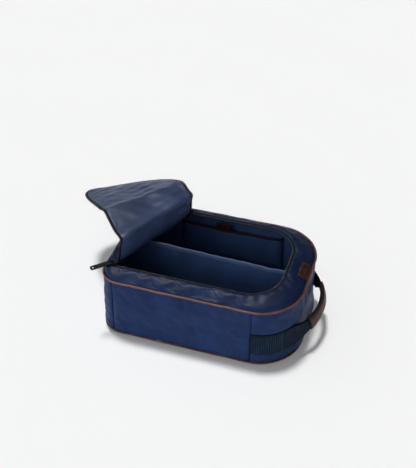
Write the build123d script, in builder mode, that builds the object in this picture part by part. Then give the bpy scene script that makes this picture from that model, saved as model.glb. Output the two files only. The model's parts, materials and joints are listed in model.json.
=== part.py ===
from build123d import *
import math
import os

os.makedirs("parts", exist_ok=True)

# Zip-top shoe bag, lying on its base. X runs along the bag with the carry handle at +X,
# Y runs across it and Z is up. The origin is the middle of the face it rests on.
# All sizes are in millimetres.

# ---- overall size, at the piping seams
body_length = 355.0
body_width = 241.0
body_height = 126.0
hinge_corner_radius = 36.0
handle_corner_radius = 79.0
foot_flare = 3.0
foot_piping_z = 7.5
crown_height = 14.8
crown_middle_share = 0.55
crown_hinge_share = 0.4
crown_middle_rise = 0.72
crown_middle_corner = 0.7
crown_lip_corner = 0.4

# ---- wall layers
shell_thickness = 1.4
foam_thickness = 3.5
lining_thickness = 1.0
layer_gap = 0.1

# ---- piping and its sewn-in fin
piping_radius = 2.2
piping_cord_radius = 1.3
piping_clearance = 0.1
fin_thickness = 1.0
fin_width = 7.0

# ---- base
base_inset = 14.0
board_thickness = 2.8

# ---- vertical gusset seams
hinge_seam_setback = 25.0
handle_seam_setback = 72.5
seam_gap = 0.1

# ---- zip: centre line of the U-shaped opening
zip_start_margin = 9.5
zip_tip_margin = 43.1
zip_side_margin = 31.0
zip_corner_radius = 56.6
coil_half_gap = 1.1
coil_width = 2.5
coil_height = 2.6
tape_width = 7.4
tape_thickness = 0.8
stop_length = 1.4
stop_clearance = 0.2
stop_proud = 0.6
fabric_setback = 6.5
lip_width = 5.5
hinge_lip_width = 3.0

# ---- flap: where each fold line crosses the near and the far edge, from the zip's start
fold_near = [10.0, 50.0, 121.0, 278.0]
fold_far = [89.0, 122.0, 153.0, 193.0]
fold_angle = [90.0, 75.0, 33.0, 13.0]
fold_gap = 1.0

# ---- zip sliders and pulls
slider_length = 12.0
slider_width = 11.0
slider_plate = 1.4
slider_channel_height = 4.4
slider_flange = 0.8
slider_slot_height = 1.8
slider_post_width = 1.4
slider_post_length = 4.0
slider_corner_radius = 2.5
near_slider_run = 7.5
far_slider_run = 84.0
flap_zip_setback = 10.5
bridge_outer_radius = 3.6
bridge_hole_radius = 2.5
bridge_width = 1.8
pull_pin_radius = 0.7
pull_arm_inner = 3.8
pull_width = 10.0
pull_length = 42.0
pull_thickness = 1.6
pull_fork_depth = 7.0
pull_eye_radius = 2.0
pull_heel = 1.2
pull_tip_radius = 3.5
pull_yaw = 44.0

# ---- divider
divider_headroom = 7.6
divider_skin = 0.7
divider_core_thickness = 1.6
divider_hinge_setback = 35.5
divider_handle_setback = 40.5
divider_end_drop = 14.0
binding_width = 5.0
binding_thickness = 0.6

# ---- slip pocket on the far inner wall
pocket_hinge_setback = 77.5
pocket_handle_setback = 74.5
pocket_low_z = 30.0
pocket_drop = 21.0
pocket_depth = 9.0
pocket_panel_thickness = 1.0
pocket_binding_height = 4.5
label_low_x = -28.0
label_width = 28.0
label_rise = 14.0
label_thickness = 0.7

# ---- leather patch on the handle-end margin
patch_setback = 1.0
patch_length = 18.5
patch_middle_y = 4.0
patch_width = 41.0
patch_chamfer = 4.0
patch_thickness = 1.2

# ---- carry handle
webbing_height = 45.0
webbing_thickness = 1.6
tack_setback = 20.5
tack_z = 52.0
folded_height = 22.0
folded_thickness = 3.2
loop_straight = 24.0
loop_nose = 18.0
loop_neck = 28.0
loop_full = 41.0
nose_half_height = 1.5
neck_half_height = 5.0
handle_rise = 14.0
grip_length = 102.0
grip_skin = 1.6
grip_clearance = 0.15
grip_edge = 0.8
stitch_rows = 12
stitch_pitch_angle = 2.9
first_row_angle = 4.0
tack_bar_angle = 1.0
stitch_width = 0.8
stitch_thickness = 0.5
tack_bar_width = 2.0
stitch_margin = 2.0

# ---- places along the bag that follow from the sizes above
half_length = body_length / 2
hinge_seam_x = hinge_seam_setback - half_length
handle_seam_x = half_length - handle_seam_setback
zip_start_x = zip_start_margin - half_length
zip_tip_x = half_length - zip_tip_margin
zip_half_width = body_width / 2 - zip_side_margin
fold_near_x = [zip_start_x + run for run in fold_near]
fold_far_x = [zip_start_x + run for run in fold_far]
near_slider_x = zip_start_x + near_slider_run
far_slider_x = zip_start_x + far_slider_run
divider_straight_low_x = divider_hinge_setback - half_length
divider_straight_high_x = half_length - divider_handle_setback
pocket_low_x = pocket_hinge_setback - half_length
pocket_high_x = half_length - pocket_handle_setback
patch_high_x = half_length - patch_setback
patch_low_x = patch_high_x - patch_length
tack_x = half_length - tack_setback

# ---- heights and layers that follow from the sizes above
lid_top_z = body_height + crown_height
lid_shell_z = lid_top_z - shell_thickness
tape_z = lid_shell_z - tape_thickness
lid_lining_z = tape_z - lining_thickness
zip_z = tape_z + tape_thickness / 2
divider_height = lid_lining_z - divider_headroom
pocket_top_z = body_height - pocket_drop
fin_low_z = body_height - fin_thickness / 2
fin_top_z = body_height + fin_thickness / 2
foot_fin_low_z = foot_piping_z - fin_thickness / 2
foot_fin_top_z = foot_piping_z + fin_thickness / 2
gusset_low_z = foot_piping_z + piping_radius + piping_clearance
gusset_top_z = body_height - piping_radius - piping_clearance
foam_inner = -(shell_thickness + layer_gap + foam_thickness)
lining_outer = foam_inner - layer_gap
interior_grow = lining_outer - lining_thickness
piping_overhang = piping_radius - shell_thickness
rim_grow = piping_overhang - piping_radius - piping_clearance


def save(part, label):
    """Label a finished piece and write it to its own file."""
    part.label = label
    export_step(part, f"parts/{label}.step")


def plan_face(z, low_x, high_x, half_width, low_radius, high_radius):
    """Rounded plan outline at height z, with one radius at each end."""
    with BuildSketch(Plane.XY.offset(z)) as plan:
        with Locations(((low_x + high_x) / 2, 0)):
            Rectangle(high_x - low_x, 2 * half_width)
        if low_radius > 0:
            fillet(plan.vertices().group_by(Axis.X)[0], low_radius)
        fillet(plan.vertices().group_by(Axis.X)[-1], high_radius)
    return plan.sketch


def flare_at(z):
    """How far the wall stands outside its top outline at height z."""
    return foot_flare * (body_height - z) / (body_height - foot_piping_z)


def body_face(z, grow):
    """The bag's own outline at height z, moved outwards by grow."""
    step = grow + flare_at(z)
    reach_x = half_length + step
    return plan_face(
        z, -reach_x, reach_x, body_width / 2 + step,
        hinge_corner_radius + step, handle_corner_radius + step)


def zip_face(z, offset, low_x, low_radius=0.0):
    """The zip's outline at height z, moved outwards by offset and closed at low_x."""
    return plan_face(
        z, low_x, zip_tip_x + offset, zip_half_width + offset,
        low_radius, zip_corner_radius + offset)


def wall_block(grow, low_z, top_z):
    """Solid block with the slightly flared shape of the walls."""
    with BuildPart() as block:
        loft([body_face(low_z, grow), body_face(top_z, grow)], ruled=True)
    return block.part


def wall_ring(outer, inner, low_z, top_z):
    """One layer of the walls, all the way round."""
    with BuildPart() as ring:
        add(wall_block(outer, low_z, top_z))
        loft([body_face(low_z, inner), body_face(top_z, inner)], ruled=True, mode=Mode.SUBTRACT)
    return ring.part


def span_box(low_x, high_x, low_y, high_y, low_z, high_z):
    """Plain block between two corners."""
    with BuildPart() as block:
        with Locations(((low_x + high_x) / 2, (low_y + high_y) / 2, (low_z + high_z) / 2)):
            Box(high_x - low_x, high_y - low_y, high_z - low_z)
    return block.part


def between(start, end, share):
    """The value a given share of the way from start to end."""
    return start + share * (end - start)


def crown_block(drop):
    """The crowned top of the bag as a solid block, lowered by drop."""
    rim_half_length = half_length + rim_grow
    lip_offset = fabric_setback + lip_width
    lip_low_x = zip_start_x - hinge_lip_width
    middle_half_width = between(
        body_width / 2 + rim_grow, zip_half_width + lip_offset, crown_middle_share)
    middle_high_x = between(rim_half_length, zip_tip_x + lip_offset, crown_middle_share)
    middle_low_x = between(-rim_half_length, lip_low_x, crown_hinge_share)
    middle_rise = crown_height * crown_middle_rise
    with BuildPart() as block:
        loft([
            plan_face(fin_top_z - drop, -rim_half_length, rim_half_length,
                      body_width / 2 + rim_grow, hinge_corner_radius + rim_grow,
                      handle_corner_radius + rim_grow),
            plan_face(body_height + middle_rise - drop, middle_low_x, middle_high_x,
                      middle_half_width, hinge_corner_radius * crown_middle_corner,
                      (handle_corner_radius + zip_corner_radius + lip_offset) / 2),
            plan_face(lid_top_z - drop, lip_low_x, zip_tip_x + lip_offset,
                      zip_half_width + lip_offset, hinge_corner_radius * crown_lip_corner,
                      zip_corner_radius + lip_offset),
        ], ruled=True)
    return block.part


# ---------------------------------------------------------------- walls

# A distance that lies outside the bag in every direction.
reach = body_length
panel_spans = {
    "near_side": (hinge_seam_x, handle_seam_x, -reach, 0.0),
    "far_side": (hinge_seam_x, handle_seam_x, 0.0, reach),
    "hinge_end": (-reach, hinge_seam_x - seam_gap, -reach, reach),
    "handle_end": (handle_seam_x + seam_gap, reach, -reach, reach),
}

for panel, (low_x, high_x, low_y, high_y) in panel_spans.items():
    with BuildPart() as gusset:
        add(wall_ring(0.0, -shell_thickness, gusset_low_z, gusset_top_z))
        add(span_box(low_x, high_x, low_y, high_y, 0, body_height), mode=Mode.INTERSECT)
    save(gusset.part, f"{panel}_gusset")

    with BuildPart() as foam:
        add(wall_ring(-shell_thickness - layer_gap, foam_inner, foot_fin_top_z, fin_low_z))
        add(span_box(low_x, high_x, low_y, high_y, 0, body_height), mode=Mode.INTERSECT)
    save(foam.part, f"{panel}_foam")

with BuildPart() as wall_lining:
    add(wall_ring(lining_outer, interior_grow, foot_fin_top_z, fin_low_z))
save(wall_lining.part, "wall_lining")


# ---------------------------------------------------------------- base

with BuildPart() as bottom_panel:
    loft([
        body_face(0, -base_inset),
        body_face(foot_fin_low_z, rim_grow),
    ], ruled=True)
    loft([
        body_face(shell_thickness, -base_inset),
        body_face(foot_fin_low_z + shell_thickness, rim_grow),
    ], ruled=True, mode=Mode.SUBTRACT)
save(bottom_panel.part, "bottom_panel")

board_low_z = shell_thickness + layer_gap
board_top_z = board_low_z + board_thickness
with BuildPart() as base_board:
    extrude(body_face(board_low_z, -base_inset), amount=board_thickness)
save(base_board.part, "base_board")

with BuildPart() as base_foam:
    extrude(body_face(board_top_z, -base_inset), amount=foot_fin_top_z - board_top_z)
save(base_foam.part, "base_foam")

with BuildPart() as floor_lining:
    extrude(body_face(foot_fin_top_z, interior_grow - layer_gap), amount=lining_thickness)
save(floor_lining.part, "floor_lining")
floor_z = foot_fin_top_z + lining_thickness


# ---------------------------------------------------------------- piping

def piping_path(z):
    """Closed centre line of a piping seam at height z."""
    face = body_face(z, piping_overhang)
    return face.faces()[0].outer_wire(), -(body_width / 2 + piping_overhang + flare_at(z))


def piping_round(z, radius):
    """Round cord of the given radius all along a piping seam."""
    path, start_y = piping_path(z)
    with BuildPart() as cord:
        with BuildSketch(Plane(origin=(0, start_y, z), x_dir=(0, 1, 0), z_dir=(1, 0, 0))):
            Circle(radius)
        sweep(path=path)
    return cord.part


for place, z in (("top", body_height), ("bottom", foot_piping_z)):
    with BuildPart() as piping:
        add(piping_round(z, piping_radius))
        fin_outer = body_face(z - fin_thickness / 2, 0.0)
        fin_inner = body_face(z - fin_thickness / 2, -fin_width)
        extrude(fin_outer, amount=fin_thickness)
        extrude(fin_inner, amount=fin_thickness, mode=Mode.SUBTRACT)
        add(piping_round(z, piping_cord_radius), mode=Mode.SUBTRACT)
    save(piping.part, f"{place}_piping")
    with BuildPart() as piping_cord:
        add(piping_round(z, piping_cord_radius - layer_gap / 2))
    save(piping_cord.part, f"{place}_piping_cord")


# ---------------------------------------------------------------- top panel around the opening

with BuildPart() as top_panel:
    add(crown_block(0))
    add(crown_block(shell_thickness), mode=Mode.SUBTRACT)
    extrude(zip_face(fin_top_z, fabric_setback, zip_start_x),
            amount=lid_top_z, mode=Mode.SUBTRACT)
save(top_panel.part, "top_panel")

lining_drop = shell_thickness + tape_thickness
with BuildPart() as top_lining:
    add(crown_block(lining_drop))
    add(crown_block(lining_drop + lining_thickness), mode=Mode.SUBTRACT)
    extrude(zip_face(0, fabric_setback, zip_start_x), amount=lid_top_z, mode=Mode.SUBTRACT)
    add(span_box(-reach, reach, -reach, reach, fin_top_z, lid_top_z), mode=Mode.INTERSECT)
save(top_lining.part, "top_lining")

with BuildPart() as zip_tape:
    extrude(zip_face(tape_z, coil_half_gap + coil_width + tape_width, zip_start_x),
            amount=tape_thickness)
    extrude(zip_face(tape_z, coil_half_gap + coil_width, -reach),
            amount=tape_thickness, mode=Mode.SUBTRACT)
    add(crown_block(shell_thickness), mode=Mode.INTERSECT)
save(zip_tape.part, "zip_tape")

coil_low_x = zip_start_x + stop_length + stop_clearance
coil_low_z = zip_z - coil_height / 2
with BuildPart() as zip_coil:
    extrude(zip_face(coil_low_z, coil_half_gap + coil_width, coil_low_x), amount=coil_height)
    extrude(zip_face(coil_low_z, coil_half_gap, -reach), amount=coil_height, mode=Mode.SUBTRACT)
save(zip_coil.part, "zip_coil")

with BuildPart() as zip_end_stops:
    with Locations((zip_start_x + stop_length / 2, -zip_half_width, zip_z),
                   (zip_start_x + stop_length / 2, zip_half_width, zip_z)):
        Box(stop_length, 2 * (coil_half_gap + coil_width) - stop_clearance, coil_height + stop_proud)
save(zip_end_stops.part, "zip_end_stops")


# ---------------------------------------------------------------- flap

def fold_axis(fold):
    """Axis of one fold line; a positive turn raises the flap beyond it."""
    near = Vector(fold_near_x[fold], -zip_half_width, lid_top_z)
    far = Vector(fold_far_x[fold], zip_half_width, lid_top_z)
    return Axis(near, near - far)


def fold_x(fold, y):
    """Where a fold line crosses the given y, on the closed lid."""
    share = (y + zip_half_width) / (2 * zip_half_width)
    return fold_near_x[fold] + share * (fold_far_x[fold] - fold_near_x[fold])


def strip_prism(segment):
    """Upright block over one stretch of the lid; stretch 0 is the part that stays down."""
    side = body_width / 2
    low = [(-reach, -side), (-reach, side)]
    high = [(reach, -side), (reach, side)]
    if segment > 0:
        low = [(fold_x(segment - 1, y) + fold_gap, y) for y in (-side, side)]
    if segment < len(fold_angle):
        high = [(fold_x(segment, y) - fold_gap, y) for y in (-side, side)]
    with BuildPart() as prism:
        with BuildSketch(Plane.XY.offset(body_height)):
            with BuildLine():
                Polyline(low[0], high[0], high[1], low[1], close=True)
            make_face()
        extrude(amount=2 * crown_height)
    return prism.part


def to_rest(part, segment):
    """Turn a piece of the closed lid into the open, curled-back place of its segment."""
    for fold in reversed(range(segment)):
        part = part.rotate(fold_axis(fold), fold_angle[fold])
    return part


def lid_skin(segment, low_z, thickness):
    """One fabric layer of a lid segment, closed flat."""
    with BuildPart() as skin:
        extrude(zip_face(low_z, -fabric_setback, zip_start_x), amount=thickness)
        add(strip_prism(segment), mode=Mode.INTERSECT)
    return skin.part


def lid_zip(segment):
    """Zip coil and tape along the edges of a lid segment, closed flat."""
    with BuildPart() as half:
        extrude(zip_face(coil_low_z, -coil_half_gap, coil_low_x), amount=coil_height)
        extrude(zip_face(coil_low_z, -coil_half_gap - coil_width, -reach),
                amount=coil_height, mode=Mode.SUBTRACT)
        extrude(zip_face(tape_z, -coil_half_gap - coil_width, coil_low_x), amount=tape_thickness)
        extrude(zip_face(tape_z, -coil_half_gap - coil_width - tape_width, -reach),
                amount=tape_thickness, mode=Mode.SUBTRACT)
        add(strip_prism(segment), mode=Mode.INTERSECT)
        if segment > 0:
            # The sliders' bridges pass under the raised flap, so its zip starts clear of them.
            add(span_box(-reach, fold_near_x[0] + flap_zip_setback, -body_width,
                         -zip_half_width + fabric_setback, body_height, 2 * body_height),
                mode=Mode.SUBTRACT)
            add(span_box(-reach, fold_far_x[0] + flap_zip_setback,
                         zip_half_width - fabric_setback, body_width,
                         body_height, 2 * body_height), mode=Mode.SUBTRACT)
    return half.part


for segment in range(len(fold_angle) + 1):
    title = f"flap_{segment}" if segment > 0 else "lid_base"
    with BuildPart() as flap_shell:
        add(to_rest(lid_skin(segment, lid_shell_z, shell_thickness), segment))
    save(flap_shell.part, f"{title}_shell")
    with BuildPart() as flap_lining:
        add(to_rest(lid_skin(segment, lid_lining_z, lining_thickness), segment))
    save(flap_lining.part, f"{title}_lining")
    with BuildPart() as flap_zip:
        add(to_rest(lid_zip(segment), segment))
    save(flap_zip.part, f"{title}_zip")


# ---------------------------------------------------------------- sliders and pulls

slider_height = slider_channel_height + 2 * slider_plate
bridge_z = zip_z + slider_height / 2 + bridge_hole_radius - slider_plate / 2


def slider_body(x, y):
    """Zip slider over both coils, its post towards the open end of the zip."""
    with BuildPart() as slider:
        with BuildSketch(Plane.YZ.offset(x - slider_length / 2)):
            with Locations((y, zip_z)):
                Rectangle(slider_width, slider_height)
                Rectangle(slider_width - 2 * slider_flange, slider_channel_height,
                          mode=Mode.SUBTRACT)
                Rectangle(slider_width, slider_slot_height, mode=Mode.SUBTRACT)
        extrude(amount=slider_length)
        with Locations((x + (slider_length - slider_post_length) / 2, y, zip_z)):
            Box(slider_post_length, slider_post_width, slider_channel_height)
        with BuildSketch(Plane.XY.offset(zip_z - slider_height / 2)):
            with Locations((x, y)):
                RectangleRounded(slider_length, slider_width, slider_corner_radius)
        extrude(amount=slider_height, mode=Mode.INTERSECT)
        with Locations(Location((x, y, bridge_z), (90, 0, 0))):
            Cylinder(bridge_outer_radius, bridge_width)
            Cylinder(bridge_hole_radius, bridge_width, mode=Mode.SUBTRACT)
    return slider.part


def pull_tab(x, y, yaw):
    """Pull with its pin through the slider's bridge, lying level and turned by yaw."""
    along = (-math.cos(math.radians(yaw)), math.sin(math.radians(yaw)), 0)
    across = (-along[1], along[0], 0)
    level = Plane(origin=(x, y, bridge_z), x_dir=along, z_dir=(0, 0, 1))
    with BuildPart() as pull:
        with BuildSketch(level.offset(-pull_thickness / 2)) as plate:
            with Locations(((pull_length - pull_heel) / 2, 0)):
                Rectangle(pull_length + pull_heel, pull_width)
            fillet(plate.vertices().sort_by(Axis.X)[-2:], pull_tip_radius)
            Rectangle(2 * pull_fork_depth, 2 * pull_arm_inner, mode=Mode.SUBTRACT)
            with Locations((pull_length - pull_width / 2, 0)):
                Circle(pull_eye_radius, mode=Mode.SUBTRACT)
        extrude(amount=pull_thickness)
        with BuildSketch(Plane(origin=(x, y, bridge_z), x_dir=(0, 0, 1), z_dir=across)):
            Circle(pull_pin_radius)
        extrude(amount=pull_width / 2, both=True)
    return pull.part


for side, x, y, yaw in (("near", near_slider_x, -zip_half_width, -pull_yaw),
                        ("far", far_slider_x, zip_half_width, pull_yaw)):
    with BuildPart() as slider:
        add(slider_body(x, y))
    save(slider.part, f"{side}_slider")
    with BuildPart() as pull:
        add(pull_tab(x, y, yaw))
    save(pull.part, f"{side}_pull")


# ---------------------------------------------------------------- divider

def divider_sheet(low_y, thickness):
    """One upright layer of the divider, running wall to wall."""
    foot_half = half_length + interior_grow + flare_at(floor_z) - layer_gap
    end_z = divider_height - divider_end_drop
    end_half = half_length + interior_grow + flare_at(end_z) - layer_gap
    with BuildPart() as sheet:
        with BuildSketch(Plane.XZ.offset(-low_y)):
            with BuildLine():
                Polyline(
                    (-foot_half, floor_z), (foot_half, floor_z), (end_half, end_z),
                    (divider_straight_high_x, divider_height),
                    (divider_straight_low_x, divider_height), (-end_half, end_z), close=True)
            make_face()
        extrude(amount=-thickness)
    return sheet.part


divider_half = divider_core_thickness / 2 + divider_skin
for label, low_y, thickness in (
        ("divider_near_skin", -divider_half, divider_skin),
        ("divider_core", -divider_core_thickness / 2, divider_core_thickness),
        ("divider_far_skin", divider_core_thickness / 2, divider_skin)):
    with BuildPart() as divider_layer:
        add(divider_sheet(low_y, thickness))
    save(divider_layer.part, label)

with BuildPart() as divider_binding:
    add(span_box(divider_straight_low_x, divider_straight_high_x,
                 -divider_half - binding_thickness, divider_half + binding_thickness,
                 divider_height - binding_width, divider_height + binding_thickness))
    add(span_box(-reach, reach, -divider_half, divider_half, 0, divider_height),
        mode=Mode.SUBTRACT)
save(divider_binding.part, "divider_binding")


# ---------------------------------------------------------------- slip pocket

wall_y = body_width / 2 + interior_grow
pocket_front_y = wall_y - pocket_depth
with BuildPart() as pocket_panel:
    add(span_box(pocket_low_x, pocket_high_x, pocket_front_y, body_width,
                 pocket_low_z, pocket_top_z))
    add(span_box(pocket_low_x + pocket_panel_thickness, pocket_high_x - pocket_panel_thickness,
                 pocket_front_y + pocket_panel_thickness, body_width,
                 pocket_low_z + pocket_panel_thickness, body_height), mode=Mode.SUBTRACT)
    add(wall_block(interior_grow - layer_gap, foot_fin_top_z, fin_low_z), mode=Mode.INTERSECT)
save(pocket_panel.part, "pocket_panel")

with BuildPart() as pocket_binding:
    add(span_box(pocket_low_x, pocket_high_x,
                 pocket_front_y - binding_thickness,
                 pocket_front_y + pocket_panel_thickness + binding_thickness,
                 pocket_top_z - pocket_binding_height, pocket_top_z + binding_thickness))
    add(span_box(pocket_low_x, pocket_high_x, pocket_front_y,
                 pocket_front_y + pocket_panel_thickness, 0, pocket_top_z), mode=Mode.SUBTRACT)
    add(span_box(pocket_low_x, pocket_low_x + pocket_panel_thickness, 0, body_width,
                 0, pocket_top_z), mode=Mode.SUBTRACT)
    add(span_box(pocket_high_x - pocket_panel_thickness, pocket_high_x, 0, body_width,
                 0, pocket_top_z), mode=Mode.SUBTRACT)
save(pocket_binding.part, "pocket_binding")

with BuildPart() as pocket_label:
    label_back_y = pocket_front_y - binding_thickness
    add(span_box(label_low_x, label_low_x + label_width, label_back_y - label_thickness,
                 label_back_y, pocket_top_z - pocket_binding_height,
                 pocket_top_z + label_rise))
save(pocket_label.part, "pocket_label")


# ---------------------------------------------------------------- leather patch

with BuildPart() as patch_prism:
    with BuildSketch(Plane.XY.offset(fin_top_z)) as patch_plan:
        with Locations(((patch_low_x + patch_high_x) / 2, patch_middle_y)):
            Rectangle(patch_high_x - patch_low_x, patch_width)
        chamfer(patch_plan.vertices(), patch_chamfer)
    extrude(amount=2 * crown_height)

with BuildPart() as leather_patch:
    add(crown_block(-patch_thickness))
    add(crown_block(0), mode=Mode.SUBTRACT)
    add(patch_prism.part, mode=Mode.INTERSECT)
save(leather_patch.part, "leather_patch")


# ---------------------------------------------------------------- carry handle

tail_inner = layer_gap
tail_outer = tail_inner + webbing_thickness
tail_low_z = tack_z - webbing_height / 2
tail_top_z = tack_z + webbing_height / 2

for side, low_y, high_y in (("near", -reach, 0.0), ("far", 0.0, reach)):
    with BuildPart() as tail:
        add(wall_ring(tail_outer, tail_inner, tail_low_z, tail_top_z))
        add(span_box(handle_seam_x + seam_gap, tack_x, low_y, high_y, 0, body_height),
            mode=Mode.INTERSECT)
    save(tail.part, f"handle_{side}_tail")

corner_x = half_length - handle_corner_radius
corner_y = body_width / 2 - handle_corner_radius
tail_radius = handle_corner_radius + flare_at(tack_z) + tail_inner + webbing_thickness / 2
tack_angle = math.degrees(math.acos((tack_x - corner_x) / tail_radius))
tack_y = corner_y + tail_radius * math.sin(math.radians(tack_angle))
stitch_bars = [(tack_angle + first_row_angle + row * stitch_pitch_angle, stitch_width)
               for row in range(stitch_rows)]
stitch_bars.append((tack_angle + tack_bar_angle, tack_bar_width))
bar_depth = 2 * (webbing_thickness + stitch_thickness) + foot_flare

with BuildPart() as bars:
    for angle, width in stitch_bars:
        for side in (-1, 1):
            turn = math.radians(angle)
            middle_x = corner_x + tail_radius * math.cos(turn)
            middle_y = side * (corner_y + tail_radius * math.sin(turn))
            with Locations(Location((middle_x, middle_y, tack_z), (0, 0, side * angle))):
                Box(bar_depth, width, webbing_height)

with BuildPart() as handle_stitching:
    add(wall_ring(tail_outer + stitch_thickness, tail_outer,
                  tail_low_z + stitch_margin, tail_top_z - stitch_margin))
    add(bars.part, mode=Mode.INTERSECT)
save(handle_stitching.part, "handle_stitching")

# The free loop is drawn level from tack to tack, then tilted up about the tacks.
leave_turn = math.radians(tack_angle)
loop_radius = (tack_y - loop_straight * math.cos(leave_turn)) / math.sin(leave_turn)
loop_middle_x = (tack_x + loop_straight * math.sin(leave_turn)
                 - loop_radius * math.cos(leave_turn))
tack_axis = Axis((tack_x, 0, tack_z), (0, -1, 0))


def loop_band(half_thickness, height):
    """The loop's webbing from nose to nose, drawn level."""
    def side_points(offset):
        start = (tack_x + loop_nose * math.sin(leave_turn) + offset * math.cos(leave_turn),
                 -tack_y + loop_nose * math.cos(leave_turn) - offset * math.sin(leave_turn))
        bend = (loop_middle_x + (loop_radius + offset) * math.cos(leave_turn),
                -(loop_radius + offset) * math.sin(leave_turn))
        return start, bend, (loop_middle_x + loop_radius + offset, 0)
    out_start, out_bend, out_middle = side_points(half_thickness)
    in_start, in_bend, in_middle = side_points(-half_thickness)
    with BuildPart() as band:
        with BuildSketch(Plane.XY.offset(tack_z - height / 2)):
            with BuildLine():
                Line(out_start, out_bend)
                ThreePointArc(out_bend, out_middle, (out_bend[0], -out_bend[1]))
                Line((out_bend[0], -out_bend[1]), (out_start[0], -out_start[1]))
                Line((out_start[0], -out_start[1]), (in_start[0], -in_start[1]))
                Line((in_start[0], -in_start[1]), (in_bend[0], -in_bend[1]))
                ThreePointArc((in_bend[0], -in_bend[1]), in_middle, in_bend)
                Line(in_bend, in_start)
                Line(in_start, out_start)
            make_face()
        extrude(amount=height)
    return band.part


def grip_sector(half_thickness, half_angle, height):
    """Curved block that follows the middle of the loop, drawn level."""
    with BuildPart() as sector:
        with BuildSketch(Plane.XY.offset(tack_z - height / 2)):
            with Locations((loop_middle_x, 0)):
                Circle(loop_radius + half_thickness)
                Circle(loop_radius - half_thickness, mode=Mode.SUBTRACT)
            with BuildLine():
                reach_x = 2 * loop_radius
                reach_y = reach_x * math.tan(math.radians(half_angle))
                Polyline((loop_middle_x, 0), (loop_middle_x + reach_x, -reach_y),
                         (loop_middle_x + reach_x, reach_y), close=True)
            make_face(mode=Mode.INTERSECT)
        extrude(amount=height)
    return sector.part


def loop_x(distance):
    """Where the straight run of the loop is after some distance from the tack."""
    return tack_x + distance * math.sin(leave_turn)


with BuildPart() as level_loop:
    add(loop_band(folded_thickness / 2, folded_height))
    for side in (-1, 1):
        with BuildSketch(Plane.XZ.offset(-reach)):
            with BuildLine():
                Polyline((tack_x, tack_z + side * nose_half_height),
                         (loop_x(loop_nose), tack_z + side * nose_half_height),
                         (loop_x(loop_neck), tack_z + side * neck_half_height),
                         (loop_x(loop_full), tack_z + side * folded_height / 2),
                         (loop_x(loop_full), tack_z + side * folded_height),
                         (tack_x, tack_z + side * folded_height), close=True)
            make_face()
        extrude(amount=2 * reach, mode=Mode.SUBTRACT)
with BuildPart() as handle_webbing:
    add(level_loop.part.rotate(tack_axis, handle_rise))
save(handle_webbing.part, "handle_webbing")

sleeve_hollow = folded_thickness / 2 + grip_clearance
grip_half_angle = math.degrees(grip_length / 2 / loop_radius)
with BuildPart() as level_grip:
    add(grip_sector(sleeve_hollow + grip_skin, grip_half_angle,
                    folded_height + 2 * grip_edge + 2 * grip_clearance))
    add(grip_sector(sleeve_hollow, 2 * grip_half_angle, folded_height + 2 * grip_clearance),
        mode=Mode.SUBTRACT)
with BuildPart() as handle_grip:
    add(level_grip.part.rotate(tack_axis, handle_rise))
save(handle_grip.part, "handle_grip")
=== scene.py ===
"""Shoe bag with its lid folded open: fabric, leather, zip and webbing built around the CAD frame."""
import json
import math

import bpy
import numpy as np
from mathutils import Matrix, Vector
from mathutils.bvhtree import BVHTree
from mathutils.kdtree import KDTree


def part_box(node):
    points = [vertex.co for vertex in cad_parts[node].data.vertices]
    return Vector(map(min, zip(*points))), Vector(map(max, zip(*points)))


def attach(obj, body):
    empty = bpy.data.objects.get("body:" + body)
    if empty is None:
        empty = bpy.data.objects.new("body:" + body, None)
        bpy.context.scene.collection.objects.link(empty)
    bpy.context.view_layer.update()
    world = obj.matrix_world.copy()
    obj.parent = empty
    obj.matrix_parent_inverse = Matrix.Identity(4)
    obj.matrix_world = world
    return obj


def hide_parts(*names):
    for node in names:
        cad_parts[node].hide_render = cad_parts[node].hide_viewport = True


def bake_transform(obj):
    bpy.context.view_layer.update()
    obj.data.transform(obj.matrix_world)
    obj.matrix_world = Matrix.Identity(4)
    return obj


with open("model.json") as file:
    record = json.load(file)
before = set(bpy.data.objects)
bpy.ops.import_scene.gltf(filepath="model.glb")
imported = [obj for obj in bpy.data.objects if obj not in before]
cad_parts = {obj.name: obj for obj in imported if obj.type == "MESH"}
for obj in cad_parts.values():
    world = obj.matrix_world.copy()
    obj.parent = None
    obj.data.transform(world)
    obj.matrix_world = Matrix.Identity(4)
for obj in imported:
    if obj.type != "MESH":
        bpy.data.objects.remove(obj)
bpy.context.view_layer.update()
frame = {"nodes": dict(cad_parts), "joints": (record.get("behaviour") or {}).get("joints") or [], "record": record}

# Lengths are millimetres up to the floor section, and meshes are written in metres.
MM = 0.001
nodes = frame["nodes"]
joints = {joint["name"]: joint for joint in frame["joints"]}


def corners(node):
    """Lowest and highest corner of a CAD node, in millimetres."""
    low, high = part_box(node)
    return np.array(low) / MM, np.array(high) / MM


# ---- sizes of the bag: a few set here, and the rest read from the frame
PIPING_OVERHANG = 0.8
HINGE_CORNER = 36.0
HANDLE_CORNER = 79.0
ZIP_CORNER = 56.6
COIL_REACH = 3.6
FABRIC_SETBACK = 6.5
LINING_SETBACK = 5.9
top_piping_low, top_piping_high = corners("top_piping")
foot_piping_low, foot_piping_high = corners("bottom_piping")
PIPING_RADIUS = (top_piping_high[2] - top_piping_low[2]) / 2
RIM_Z = (top_piping_high[2] + top_piping_low[2]) / 2
FOOT_Z = (foot_piping_high[2] + foot_piping_low[2]) / 2
HALF_LENGTH = top_piping_high[0] - PIPING_RADIUS - PIPING_OVERHANG
HALF_WIDTH = top_piping_high[1] - PIPING_RADIUS - PIPING_OVERHANG
FLARE = foot_piping_high[0] - top_piping_high[0]
LID_Z = corners("top_panel")[1][2]
coil_low, coil_high = corners("zip_coil")
ZIP_TIP_X = coil_high[0] - COIL_REACH
ZIP_HALF_WIDTH = coil_high[1] - COIL_REACH
ZIP_START_X = corners("lid_base_shell")[0][0]
COIL_Z = (coil_high[2] + coil_low[2]) / 2
HANDLE_SEAM_X = corners("near_side_gusset")[1][0]
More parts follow.
